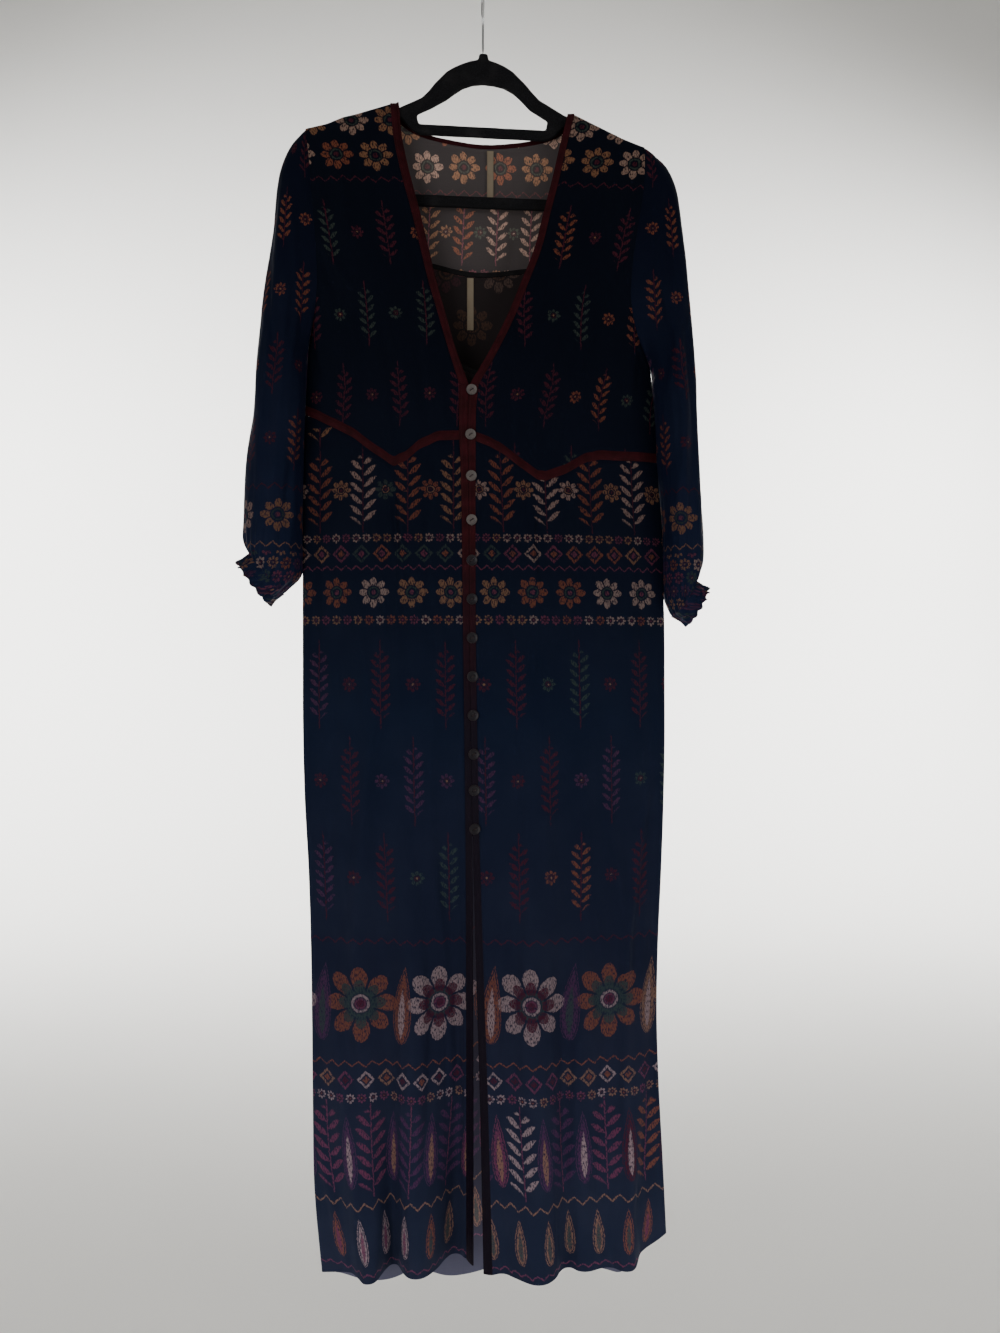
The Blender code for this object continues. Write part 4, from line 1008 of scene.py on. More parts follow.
SLIP_FIELDS = (("rosette", -1000, -300, 62, 62, 0.5, 0, 12, (MIXED, OCHRE, RUST), (24,)),)


# %% Cloth finishes
# pitch of the threads in millimetres, and how uneven they are
CLOTH_WEAVE, TRIM_WEAVE, TAPE_WEAVE = (0.8, 0.35), (0.7, 0.3), (0.45, 0.2)


def new_finish(name, space):
    """The wiring of a new material, and each point's place in millimetres: UV is its flat cut."""
    material = bpy.data.materials.new(name)
    material.use_nodes = True
    w = Wiring(material.node_tree, material)
    return w, w.vector("MULTIPLY", w.add("TexCoord", out=space), (1000.0, 1000.0, 1000.0))


def surface(w, colour, roughness, height, bump=0.25, deep=0.3, **others):
    """Joins a finish to its shader, and gives the material. others are more inputs of the shader."""
    relief = w.fill(w.node("Bump"), Strength=bump, Distance=deep * MM, Height=height)
    shader = w.tree.nodes["Principled BSDF"]
    w.fill(shader, Base_Color=colour, Roughness=roughness, Normal=Term(w, relief.outputs["Normal"]), **others)
    return w.material


def make_printed_cloth(name, fields, lines, ground=NAVY_WITH_PAINTED_LIGHT, fade=None, glow=1.0, through=0.0):
    """Printed viscose.

    fade, a colour and a share, washes the print over. glow makes it lighter, a painted light. through is the
    share of its colour given off as a painted glow, which reaches the eye wherever the lamps don't.
    """
    w, place = new_finish(name, "UV")
    up = w.split(place)[1]
    # the ground's colour by height is a painted light: lighter towards the hem, darker at the shoulders
    ground_with_painted_light = by_height(w, up, ground)
    rubbed = w.noise(place, 0.011).step(0.38, 0.68) * 0.6
    colour = printed(w, place, w.tint(ground_with_painted_light, w.vector("MULTIPLY", ground_with_painted_light, WORN), rubbed), fields, lines)
    # painted light: the colour is made brighter or darker by height, and glow brightens it more
    painted_light = w.vector("MULTIPLY", by_height(w, up, PAINTED_LIGHT_BY_HEIGHT), (glow, glow, glow))
    colour = w.vector("MULTIPLY", colour, painted_light)
    if fade:
        colour = w.tint(colour, *fade)
    # painted glow: the cloth gives off its own colour as light, where the lamps don't reach
    light = {"Emission_Color": colour, "Emission_Strength": through} if through else {}
    height, tone = w.use("woven grain", place, *CLOTH_WEAVE)
    colour = w.vector("MULTIPLY", colour, w.add("CombineXYZ", tone, tone, tone))
    return surface(w, colour, height.scaled(0.12, 0.62), height, Specular_IOR_Level=0.12,
                   Specular_Tint=(0.45, 0.62, 1.0, 1.0), Sheen_Weight=0.02, Sheen_Roughness=0.35,
                   Sheen_Tint=(0.35, 0.5, 1.0, 1.0), **light)


# from inside, the light that comes through the cloth and its inks is painted: a paler, lighter colour and a
# painted glow
INSIDE = {"fade": ((0.150, 0.122, 0.102), 0.38), "glow": 3.4, "through": 0.07}
INSIDE_HEM = {**INSIDE, "through": 0.17}
BODICE, BODICE_BACK = (BODICE_FIELDS, BODICE_LINES), (BACK_FIELDS, BODICE_LINES)
SKIRT, SLEEVE = (SKIRT_FIELDS, SKIRT_LINES), (SLEEVE_FIELDS, SLEEVE_LINES)
SLIP_GROUND = ((0.0, (0.018, 0.014, 0.013)), (1.0, (0.018, 0.014, 0.013)))
bodice_face = make_printed_cloth("printed bodice cloth", *BODICE)
back_face = make_printed_cloth("printed back cloth", *BODICE_BACK)
bodice_back = make_printed_cloth("printed bodice cloth inside", *BODICE, **INSIDE)
back_back = make_printed_cloth("printed back cloth inside", *BODICE_BACK, **INSIDE)
skirt_face = make_printed_cloth("printed skirt cloth", *SKIRT)
skirt_back = make_printed_cloth("printed skirt cloth inside", *SKIRT, **INSIDE_HEM)
sleeve_face = make_printed_cloth("printed sleeve cloth", *SLEEVE, SLEEVE_NAVY_WITH_PAINTED_LIGHT)
sleeve_back = make_printed_cloth("printed sleeve cloth inside", *SLEEVE, **INSIDE)
slip_cloth = make_printed_cloth("slip cloth", SLIP_FIELDS, (), SLIP_GROUND, ((0.022, 0.016, 0.014), 0.72))
print("cloth finishes:", bodice_face.name, skirt_face.name, sleeve_face.name, slip_cloth.name)

# %% [markdown]
# ## Trim, labels, flocking, wire and buttons
#
# The bindings are plain dyed cloth folded over the raw edge and stitched down near both sides. Each strip's
# UV map runs across it and along it, so the stitches follow it round every bend.

# %% Stitch line
@pattern("stitch line", ("Across", "Along", "From Middle", "Pitch"), ("Thread", "Pucker"))
def stitch_line(w, across, along, from_middle, pitch):
    off = abs(abs(across) - from_middle)
    dash = abs((along / pitch).math("FRACT") - 0.5)
    return off.step(0.38, 0.2) * dash.step(0.40, 0.33), off.step(0.0, 1.0)


# %% Trim finishes
STRIP_LOW_COLOUR = (0.0066, 0.0056, 0.0130)     # the front strips turn darker and bluer towards the hem
STRIP_LOW_FROM, STRIP_LOW_TO = -660.0, -880.0
STITCH_PITCH = 2.6


def make_trim(name, colour, thread_colour, stitch_from_middle, fades=False):
    """A plain dyed binding with a line of stitches near both sides."""
    w, place = new_finish(name, "UV")
    across, along, _ = w.split(place)
    grain = w.use("woven grain", place, *TRIM_WEAVE)[0]
    shade = w.tint(colour, tuple(1.7 * part for part in colour), w.noise(place, 0.06).step(0.35, 0.75))
    stitches, pucker = w.use("stitch line", across, along, stitch_from_middle, STITCH_PITCH)
    shade = w.tint(shade, thread_colour, stitches * 0.7)
    # darker and bluer below the waist, by height
    if fades:
        level = w.split(w.add("TexCoord", out="Object"))[2]
        shade = w.tint(shade, STRIP_LOW_COLOUR, level.step(STRIP_LOW_FROM * MM, STRIP_LOW_TO * MM) * 0.9)
    height = grain * 0.5 + pucker + stitches * 0.8
    return surface(w, shade, grain.scaled(0.1, 0.58), height, 0.45, 0.4, Specular_IOR_Level=0.09,
                   Sheen_Weight=0.015, Sheen_Roughness=0.4, Sheen_Tint=(0.8, 0.35, 0.35, 1.0))


# name, dye, thread, distance of the stitches from the strip's middle
DEEP_RED, RED_THREAD = (0.021, 0.0020, 0.0036), (0.036, 0.0062, 0.0080)
BLACK, BLACK_THREAD = (0.006, 0.0055, 0.006), (0.012, 0.011, 0.012)
oxblood = make_trim("oxblood binding", DEEP_RED, RED_THREAD, 2.6)
front_strip = make_trim("oxblood front strip", DEEP_RED, RED_THREAD, 2.6, fades=True)
band_trim = make_trim("oxblood waist band", DEEP_RED, RED_THREAD, 4.2)
slip_trim = make_trim("black slip binding", BLACK, BLACK_THREAD, 1.8)
slip_strap = make_trim("black slip strap", BLACK, BLACK_THREAD, 1.5)


# %% Label tape
def make_label_tape():
    w, place = new_finish("cream label tape", "UV")
    grain = w.use("woven grain", place, *TAPE_WEAVE)[0]
    edge = abs(w.split(place)[0]).step(2.9, 3.4)
    shade = w.tint((0.215, 0.172, 0.120), (0.160, 0.126, 0.090), edge)
    shade = w.tint(shade, (0.190, 0.145, 0.095), w.noise(place, 0.08).step(0.45, 0.7) * 0.5)
    return surface(w, shade, 0.75, grain + edge, 0.3, 0.2, Specular_IOR_Level=0.25)


# %% Flocked plastic
def make_flock():
    w, place = new_finish("black flocking", "Object")
    fibres = w.noise(place, 1.6, 4.0, flat=False)
    rubbed = w.noise(place, 0.045, 3.0, flat=False)
    shade = w.tint((0.0035, 0.0035, 0.0040), (0.013, 0.013, 0.015), fibres.step(0.38, 0.66))
    shade = w.tint(shade, (0.017, 0.016, 0.017), rubbed.step(0.52, 0.72) * 0.6)
    return surface(w, shade, fibres.scaled(0.15, 0.82), fibres, 0.5, 0.4, Specular_IOR_Level=0.1,
                   Sheen_Weight=0.06, Sheen_Roughness=0.35, Sheen_Tint=(0.5, 0.52, 0.6, 1.0))


# %% Bright wire
def make_wire():
    w, place = new_finish("bright hook wire", "Object")
    drawn = w.noise(place, 0.9, 4.0, flat=False)
    shade = w.tint((0.62, 0.62, 0.63), (0.44, 0.43, 0.43), drawn.step(0.4, 0.7))
    return surface(w, shade, drawn.scaled(0.22, 0.12), drawn, 0.15, 0.05, Metallic=1.0)


# %% Shell and thread
BUTTON_PAINTED_SHADE = (0.007, 0.0045, 0.008)       # the lower buttons are painted darker: a painted shade
PAINTED_SHADE_FROM, PAINTED_SHADE_TO = -645.0, -680.0


def make_shell():
    w, place = new_finish("pale shell button", "Object")
    cloud = w.noise(place, 0.22, 5.0, flat=False, distortion=1.2)
    layers = w.add("TexWave", place, 0.18, 6.0, 3.0, out="Fac")
    shade = w.tint((0.122, 0.104, 0.096), (0.066, 0.058, 0.060), cloud.step(0.35, 0.7))
    shade = w.tint(shade, (0.148, 0.122, 0.106), layers * 0.35)
    # painted shade: the buttons lower down are darkened by their height
    shade = w.tint(shade, BUTTON_PAINTED_SHADE, w.split(place)[2].step(PAINTED_SHADE_FROM, PAINTED_SHADE_TO))
    return surface(w, shade, cloud.scaled(0.2, 0.32), layers, 0.1, 0.1, Specular_IOR_Level=0.3,
                   Coat_Weight=0.1, Coat_Roughness=0.2)


def make_thread():
    w, place = new_finish("dark sewing thread", "Object")
    ply = w.add("TexWave", place, 1.1, out="Fac", bands_direction="DIAGONAL")
    shade = w.tint((0.010, 0.006, 0.007), (0.030, 0.014, 0.016), ply)
    return surface(w, shade, 0.6, ply, 0.4, 0.15)


label_tape = make_label_tape()
flock = make_flock()
wire = make_wire()
shell = make_shell()
thread = make_thread()
print("trim finishes:", oxblood.name, label_tape.name, flock.name, wire.name, shell.name)

# %% [markdown]
# ## Where the creases lie
#
# These tables place every crease in the dress one by one, in the same measures as the imported model: x across
# and z up. Long soft folds fall from the waist to the hem, short ones radiate from the underarms, and the
# sleeves wrinkle where they hang in on themselves. No two are alike. A positive depth is a ridge, a negative
# one a trough.

# %% Skirt, front
# x, z of the start, x, z of the end, half width, depth
CREASES = {
    "front_skirt_left": (
        (-205, -1010, -150, -1512, 6, 3.6), (-196, -1090, -134, -1500, 8, -2.6),
        (-186, -560, -176, -860, 7, -1.6), (-170, -600, -158, -1240, 11, 1.7),
        (-150, -700, -142, -1330, 8, -1.5), (-131, -590, -126, -900, 6, 1.3),
        (-118, -820, -112, -1500, 9, 2.1), (-104, -574, -101, -760, 4, 2.2),
        (-98, -575, -92, -700, 3.5, -1.5), (-95, -900, -84, -1495, 7, -2.2),
        (-80, -560, -74, -1010, 9, 1.3), (-66, -980, -62, -1495, 8, 2),
        (-54, -560, -50, -820, 6, -1.1), (-45, -1120, -44, -1495, 6, -2),
        (-36, -700, -35, -1200, 5, 1.1),
    ),
    "front_skirt_right": (
        (204, -900, 181, -1490, 6, 3.4), (192, -1000, 166, -1490, 8, -2.6),
        (188, -590, 186, -880, 7, 1.4), (170, -640, 176, -1150, 9, -1.4),
        (152, -600, 148, -1260, 12, 1.8), (134, -900, 141, -1495, 7, 2),
        (120, -600, 122, -940, 7, -1.3), (112, -1040, 118, -1495, 7, -2.1),
        (96, -600, 94, -1180, 9, 1.5), (80, -1020, 86, -1495, 8, 2),
        (64, -592, 66, -760, 4, 2.2), (58, -592, 54, -700, 3.5, -1.5),
        (56, -960, 62, -1495, 8, -2), (40, -580, 38, -900, 7, 1.2),
        (34, -1060, 40, -1495, 6, 2.1), (18, -640, 16, -1200, 5, -1.2),
    ),
    "back_skirt": (
        (-196, -880, -160, -1500, 7, 3), (-178, -980, -148, -1510, 8, -2.4),
        (-164, -560, -158, -980, 9, 1.5), (-138, -640, -132, -1300, 11, -1.6),
        (-112, -920, -104, -1520, 9, 2.2), (-96, -560, -92, -900, 7, 1.3),
        (-74, -1000, -70, -1525, 8, -2.1), (-52, -600, -50, -1240, 11, 1.7),
        (-28, -1060, -22, -1525, 7, 2.1), (-8, -570, -6, -880, 6, -1.3),
        (12, -960, 18, -1525, 9, -2.2), (36, -620, 38, -1180, 10, 1.6),
        (58, -980, 66, -1520, 8, 2.2), (84, -580, 86, -940, 7, -1.3),
        (104, -900, 114, -1515, 9, -2), (130, -620, 134, -1260, 11, 1.7),
        (156, -1000, 160, -1510, 8, 2.2), (180, -640, 176, -1120, 9, -1.5),
        (200, -980, 186, -1480, 7, 2.8),
    ),
    "front_bodice_left": (
        (-201, -290, -150, -372, 6, 2), (-202, -312, -158, -420, 7, -1.7),
        (-203, -340, -176, -486, 6, 1.8), (-190, -196, -176, -300, 7, -1.4),
        (-160, -186, -150, -330, 9, 1.5), (-132, -176, -124, -300, 7, -1.2),
        (-150, -400, -132, -520, 8, 1.4), (-118, -410, -108, -552, 6, -1.6),
        (-104, -452, -102, -562, 5, 1.7), (-88, -330, -64, -470, 8, 1.2),
        (-70, -420, -58, -545, 6, -1.2), (-52, -470, -46, -540, 5, 1.2),
    ),
    "front_bodice_right": (
        (196, -302, 146, -384, 6, 2), (199, -330, 152, -440, 7, -1.8),
        (202, -360, 170, -512, 6, 1.7), (178, -204, 168, -312, 7, -1.4),
        (150, -190, 142, -340, 9, 1.5), (126, -182, 120, -300, 7, -1.1),
        (132, -410, 112, -548, 8, 1.4), (96, -420, 82, -566, 6, -1.5),
        (66, -470, 62, -574, 5, 1.7), (74, -330, 48, -480, 8, 1.2),
        (38, -440, 30, -552, 6, -1.2), (8, -480, 8, -536, 5, 1),
    ),
    "back_bodice": (
        (-201, -300, -146, -390, 6, 2), (-202, -330, -160, -450, 7, -1.7),
        (-176, -196, -168, -330, 8, 1.5), (-140, -200, -130, -360, 9, -1.3),
        (-112, -300, -104, -490, 9, 1.5), (-84, -210, -70, -330, 6, 1.2),
        (-62, -380, -58, -520, 8, -1.3), (-30, -205, -24, -330, 7, -0.9),
        (-10, -300, -6, -520, 9, 1.4), (34, -205, 30, -350, 7, 1),
        (48, -390, 52, -530, 7, -1.3), (82, -214, 70, -340, 6, 1.2),
        (104, -320, 98, -500, 9, 1.5), (140, -210, 132, -370, 9, -1.3),
        (168, -206, 160, -340, 8, 1.5), (196, -312, 142, -404, 6, 2),
        (199, -345, 158, -470, 7, -1.7),
    ),
}

# %% Sleeves, front and back
SLEEVE_CREASES = {
    "left": {
        "front": (
            (-231, -240, -232, -480, 5, -3.2), (-224, -250, -224, -500, 4, 2),
            (-242, -300, -246, -560, 6, 1.9), (-214, -420, -226, -600, 5, 1.8),
            (-252, -400, -258, -620, 6, -1.8), (-222, -520, -236, -690, 5, -1.9),
            (-264, -520, -266, -660, 5, 1.8), (-216, -600, -232, -706, 4, 1.6),
            (-246, -580, -250, -690, 5, 1.6),
        ),
        "back": (
            (-222, -250, -228, -470, 5, -2.6), (-238, -270, -244, -520, 6, 1.9),
            (-216, -430, -230, -640, 6, 1.8), (-252, -440, -260, -640, 6, -1.8),
            (-240, -560, -246, -690, 5, 1.7), (-220, -600, -232, -704, 4, -1.5),
        ),
    },
    "right": {
        "front": (
            (216, -235, 228, -420, 4.5, -3), (228, -400, 227, -690, 5, -3.2),
            (208, -240, 218, -430, 4, 1.9), (220, -430, 218, -640, 5, 2),
            (236, -310, 242, -560, 6, 1.9), (247, -470, 250, -660, 5, -1.7),
            (214, -560, 224, -720, 4, -1.6), (238, -580, 244, -710, 5, 1.7),
            (252, -600, 252, -690, 4, 1.4),
        ),
        "back": (
            (210, -250, 220, -470, 5, -2.6), (226, -280, 236, -530, 6, 1.9),
            (214, -450, 222, -660, 6, 1.8), (244, -450, 250, -660, 6, -1.7),
            (232, -580, 238, -710, 5, 1.6), (218, -610, 226, -724, 4, -1.5),
        ),
    },
}

# %% [markdown]
# ## Bodice and skirt
#
# Two front halves meet below a deep V, and one back piece closes them. The skirt is cut the same way, and
# hangs from the band under the bust. Each panel is a grid laid over its wall, creased, then given the cloth's
# real thickness. A seam leaves a low roll where the turnings lie underneath, and the hem is turned up and
# stitched.

# %% Panels
# node: outwards, corners from bottom left round to top left, cell of the grid
BODICE_CELL = (2.35, 3.4)
SKIRT_CELL = (2.15, 6.8)
PANELS = {
    "front_bodice_left": (FRONT, ((-205, -503), (-29, -536), (-108, -151), (-205, -183)), BODICE_CELL),
    "front_bodice_right": (FRONT, ((-9, -537), (204, -553), (190, -192), (107, -157)), BODICE_CELL),
    "back_bodice": (BACK, ((-205, -503), (204, -553), (190, -192), (-205, -183)), BODICE_CELL),
    "front_skirt_left": (FRONT, ((-186, -1505), (-20, -1497), (-28, -547), (-206, -514)), SKIRT_CELL),
    "front_skirt_right": (FRONT, ((10, -1497), (216, -1473), (205, -565), (-9, -549)), SKIRT_CELL),
    "back_skirt": (BACK, ((-186, -1505), (216, -1473), (205, -565), (-206, -514)), SKIRT_CELL),
}
PANEL_FINISHES = {
    "bodice": (bodice_face, bodice_back),
    "back_bodice": (back_face, back_back),
    "skirt": (skirt_face, skirt_back),
}
SKIRT_DEEPER = 1.3     # the long folds of the skirt are so much deeper than their tables
SEAM_HOLD = 16.0       # creases fade out this near to a seam
HEM_HOLD = 5.0         # and this near to the hem
SEAM_ROLL = 0.35       # height of the turnings' roll beside a seam
ROLL_FROM_SEAM, ROLL_WIDTH = 4.0, 2.5
HEM_TURN = 9.0         # the hem's stitching lies this far up
HEM_DIP = 0.45         # and is pressed so deep
HEM_DIP_WIDTH = 2.0
GATHER_DEPTH = 0.45    # small gathers under the waist seam
GATHER_LENGTH = 16.0


def seam_roll(distance):
    """The roll of the turnings, by the distance from their seam."""
    return SEAM_ROLL * np.exp(-((distance - ROLL_FROM_SEAM) / ROLL_WIDTH) ** 2)


def panel_relief(grid, node):
    """Creases, seam rolls and the stitched hem of a panel, as a depth at each point."""
    hem, across = steps_along(grid, 0), steps_along(grid, 1)
    sides = np.minimum(across, across[:, -1:] - across)
    top = hem[-1:] - hem
    hold = HEM_HOLD if "skirt" in node else SEAM_HOLD
    fade = eased(sides / SEAM_HOLD) * eased(top / SEAM_HOLD) * eased(hem / hold)
    depth = crease_depth(grid, CREASES[node]) * fade * (SKIRT_DEEPER if "skirt" in node else 1.0)
    depth += seam_roll(np.minimum(sides, top))
    if "skirt" in node:
        depth -= HEM_DIP * np.exp(-((hem - HEM_TURN) / HEM_DIP_WIDTH) ** 2)
        gathers = np.sin(across / 3.1 + 1.4 * np.sin(across / 23)) * np.sin(across / 11.3 + 1)
        depth += GATHER_DEPTH * gathers * np.exp(-top / GATHER_LENGTH) * eased(top / 3)
    return depth


# %% Seams and tucked edges
SEAM_REACH = 6.0       # two panels' edges nearer than this are sewn to each other
TUCK_REACH = 1.2       # any other edge runs on so far, and lies so much deeper, under a trim or a sleeve
TUCK_DEPTH = 0.5
EDGE_STEPS = 8         # an edge is looked up this much finer than its points


def finer_edge(edge):
    at = np.linspace(0, len(edge) - 1, len(edge) * EDGE_STEPS)
    return np.stack([np.interp(at, np.arange(len(edge)), edge[:, axis]) for axis in range(3)], axis=1)


def edges_facing(node):
    """The edges of the panels that this one meets at its side and shoulder seams."""
    half, other = node.split("_")[:2]
    facing = [name for name in panel_grids if name.split("_")[0] != half and name.split("_")[1] == other]
    grids = [panel_grids[name] for name in facing]
    edges = [edge for grid in grids for edge in (grid[-1], grid[:, 0], grid[:, -1])]
    return np.concatenate([finer_edge(edge) for edge in edges])


def run_on(edge, inner, normals, facing):
    """An edge's next row of points: half way over to the facing edge, or tucked under."""
    away = edge - inner
    away /= np.maximum(np.linalg.norm(away, axis=1, keepdims=True), 1e-9)
    beyond = edge + TUCK_REACH * away - TUCK_DEPTH * normals
    gaps = np.linalg.norm(edge[:, None] - facing[None], axis=2)
    sewn = gaps.min(axis=1) < SEAM_REACH
    beyond[sewn] = (edge[sewn] + facing[gaps.argmin(axis=1)[sewn]]) / 2
    return beyond


def closed_up(node):
    """A panel's grid with its edges run on to its neighbours. A hem stays as it is."""
    grid, outwards, facing = panel_grids[node], PANELS[node][0], edges_facing(node)
    for axis in (0, 1):
        normals = grid_normals(grid) * (-1 if faces_in(grid, outwards, False) else 1)
        grid, normals = (np.moveaxis(one, axis, 0) for one in (grid, normals))
        rows = [grid, run_on(grid[-1], grid[-2], normals[-1], facing)[None]]
        if axis == 1 or "bodice" in node:
            rows.insert(0, run_on(grid[0], grid[1], normals[0], facing)[None])
        grid = np.moveaxis(np.concatenate(rows), 0, axis)
    return grid


panel_grids = {node: panel_grid(node, CLOTH_WALL, *PANELS[node]) for node in PANELS}
print("panels:", {node: grid.shape[:2] for node, grid in panel_grids.items()})


# %% Making the panels
def make_panel(node):
    outwards = PANELS[node][0]
    grid = closed_up(node)
    places = cut_places(grid)
    grid = pushed_out(grid, panel_relief(grid, node), outwards)
    finishes = PANEL_FINISHES[node if node == "back_bodice" else node.split("_")[1]]
    dress(cloth_from(node + "_cloth", grid, places, finishes, outwards), node, "cloth", grid)


for node in PANELS:
    make_panel(node)

# %% [markdown]
# ## Sleeves
#
# A bishop sleeve is a wide tube, gathered into a narrow elastic casing with a small ruffle beyond it. Gathers
# start deep at the casing and fade out up the sleeve.

# %% Sleeves, casings and ruffles
# node: x, z of the lowest point of its first ring and of its last ring, columns round, rows
SLEEVES = {
    "left": ((-205, -437), (-235, -715), 176, 118),
    "right": ((198, -453), (227, -740), 176, 118),
}
TUBES = {
    "cuff_left": ((-235, -716), (-238, -728), 200, 9),
    "cuff_right": ((229, -741), (232, -751), 200, 9),
    "cuff_ruffle_left": ((-238, -728), (-245, -736), 224, 9),
    "cuff_ruffle_right": ((237, -751), (244, -758), 224, 9),
}
SLEEVE_CUT = (0.30, 0.56)
SLEEVE_GATHERS = 27
CASING_WRINKLES = 41
RUFFLE_FLUTES = 34
GATHERED_DEPTH, HEAD_DEPTH = 1.15, 0.25     # gathers above the casing and under the sleeve's head
GATHERED_REACH, HEAD_REACH = 32.0, 12.0     # and how far they fade out from there
HEAD_HOLD, CASING_HOLD = 14.0, 10.0         # creases fade out this near to either end
FRONT_TO_BACK = 12.0                        # front creases give way to back ones over this depth
FLUTE_DEPTH, WRINKLE_DEPTH, CASING_ROLL = 0.55, 0.35, 0.5


def ripples(turns, count, unevenness):
    """Uneven ripples round a tube, from -1 to 1."""
    turn = np.linspace(0, 2 * math.pi, turns, endpoint=False)
    return np.sin(count * turn + unevenness * np.sin(3 * turn + 1) + unevenness * np.sin(7 * turn))


# z, x of the place against the body's side seam where a sleeve's inner edge comes to rest
BODY_SIDE = {
    "left": ((-440, -202.6), (-460, -203.1), (-475, -203.9), (-490, -205.0), (-520, -206.4), (-550, -206.9),
             (-600, -207.9), (-660, -208.6), (-700, -208.4), (-766, -209.2)),
    "right": ((-460, 200.9), (-475, 200.0), (-490, 201.2), (-520, 203.6), (-565, 206.0), (-595, 208.7),
              (-640, 211.1), (-670, 211.8), (-700, 212.8), (-795, 216.2)),
}
HUNG_FROM = 14.0       # the sleeve comes to rest over this length below its head
HUNG_UNTIL = 36.0      # and swings free again over this length above its casing


def hung_close(grid, side):
    """The sleeve with its inner half let fall against the side seam."""
    outer, inner = sleeve_edges(grid, side)
    seam = np.array(BODY_SIDE[side])
    target = np.interp(-grid[..., 2], -seam[:, 0], seam[:, 1])
    share = np.clip((grid[..., 0] - (outer + inner) / 2) / ((inner - outer) / 2), 0, 1) ** 1.5
    down = steps_along(grid, 0)
    moved = grid.copy()
    below_head, above_casing = eased(down / HUNG_FROM), eased((down[-1:] - down) / HUNG_UNTIL)
    moved[..., 0] += (target - inner) * share * below_head * above_casing
    return moved


def sleeve_relief(grid, side):
    """Creases, gathers at both ends and the roll of the head's seam, as a depth at each point."""
    tables = SLEEVE_CREASES[side]
    front = np.clip(0.5 - grid[..., 1] / FRONT_TO_BACK, 0, 1)
    down = steps_along(grid, 0)
    left = down[-1:] - down
    turns = grid.shape[1]
    depth = crease_depth(grid, tables["front"]) * front + crease_depth(grid, tables["back"]) * (1 - front)
    depth *= eased(down / HEAD_HOLD) * eased(left / CASING_HOLD)
    gathered = ripples(turns, SLEEVE_GATHERS, 0.9) * np.exp(-left / GATHERED_REACH) * eased(left / 3)
    head = ripples(turns, SLEEVE_GATHERS + 4, 1.2) * np.exp(-down / HEAD_REACH) * eased(down / 3)
    return depth + GATHERED_DEPTH * gathered + HEAD_DEPTH * head + seam_roll(down)


def tube_relief(grid, node):
    """A ruffle's flutes, which grow towards its edge, or a casing's roll and wrinkles."""
    rows, turns = grid.shape[:2]
    middle = np.sin(np.linspace(0, math.pi, rows))[:, None]
    if "ruffle" in node:
        edge = np.linspace(0, 1, rows)[:, None] ** 1.5
        return FLUTE_DEPTH * ripples(turns, RUFFLE_FLUTES, 0.8)[None] * edge
    return WRINKLE_DEPTH * ripples(turns, CASING_WRINKLES, 1.2)[None] * middle + CASING_ROLL * middle


def make_tube(node, grid, relief, places, cut=None):
    grid = pushed_out(grid, relief, None, closed=True)
    piece = cloth_from(node + "_cloth", grid, places, (sleeve_face, sleeve_back), closed=True)
    dress(piece, node, "cloth", grid, cut=cut)


def tucked_under(grid, reach):
    """The tube with its first and last rows run on, under the pieces that it is sewn to."""
    first, last = grid[0] - grid[1], grid[-1] - grid[-2]
    first *= reach[0] / np.linalg.norm(first, axis=1, keepdims=True)
    last *= reach[1] / np.linalg.norm(last, axis=1, keepdims=True)
    return np.concatenate([(grid[0] + first)[None], grid, (grid[-1] + last)[None]])


TUCK = {"cuff": (1.6, 1.3), "cuff_ruffle": (1.2, 0.3)}
for node, (first, last, turns, rows) in TUBES.items():
    ring = tube_grid(node, CLOTH_WALL, first, last, turns, rows)
    ring = tucked_under(ring, TUCK[node.rsplit("_", 1)[0]])
    make_tube(node, ring, tube_relief(ring, node), tube_places(ring))
for side, (first, last, turns, rows) in SLEEVES.items():
    sleeve = hung_close(sleeve_grid(side, first, last, turns, rows), side)
    make_tube(f"sleeve_{side}", sleeve, sleeve_relief(sleeve, side), sleeve_places(sleeve, side), SLEEVE_CUT)

# %% [markdown]
# ## Bindings, bands and front strips
#
# A binding is a narrow strip folded over an edge, so it is thickest along its middle and rolls down at both
# sides. The two front strips meet edge to edge, with the buttons on one and thread loops on the other.

# %% Strips with a rolled section
# a word of the node's name: wall of its solid, thickness of its cloth, finish, slot, end of the piece's name
STRIP_KINDS = {
    "waist_band": (TRIM_WALL, 1.1, band_trim, "trim", "_trim"),
    "neck_binding": (TRIM_WALL, 1.1, oxblood, "trim", "_trim"),
    "front_binding": (TRIM_WALL, 1.1, front_strip, "trim", "_trim"),
    "slip_binding": (1.4, 0.9, slip_trim, "slip", "_tape"),
    "slip_strap": (0.7, 0.6, slip_strap, "slip", "_tape"),
    "label": (1.0, 0.35, label_tape, "label", "_tape"),
}
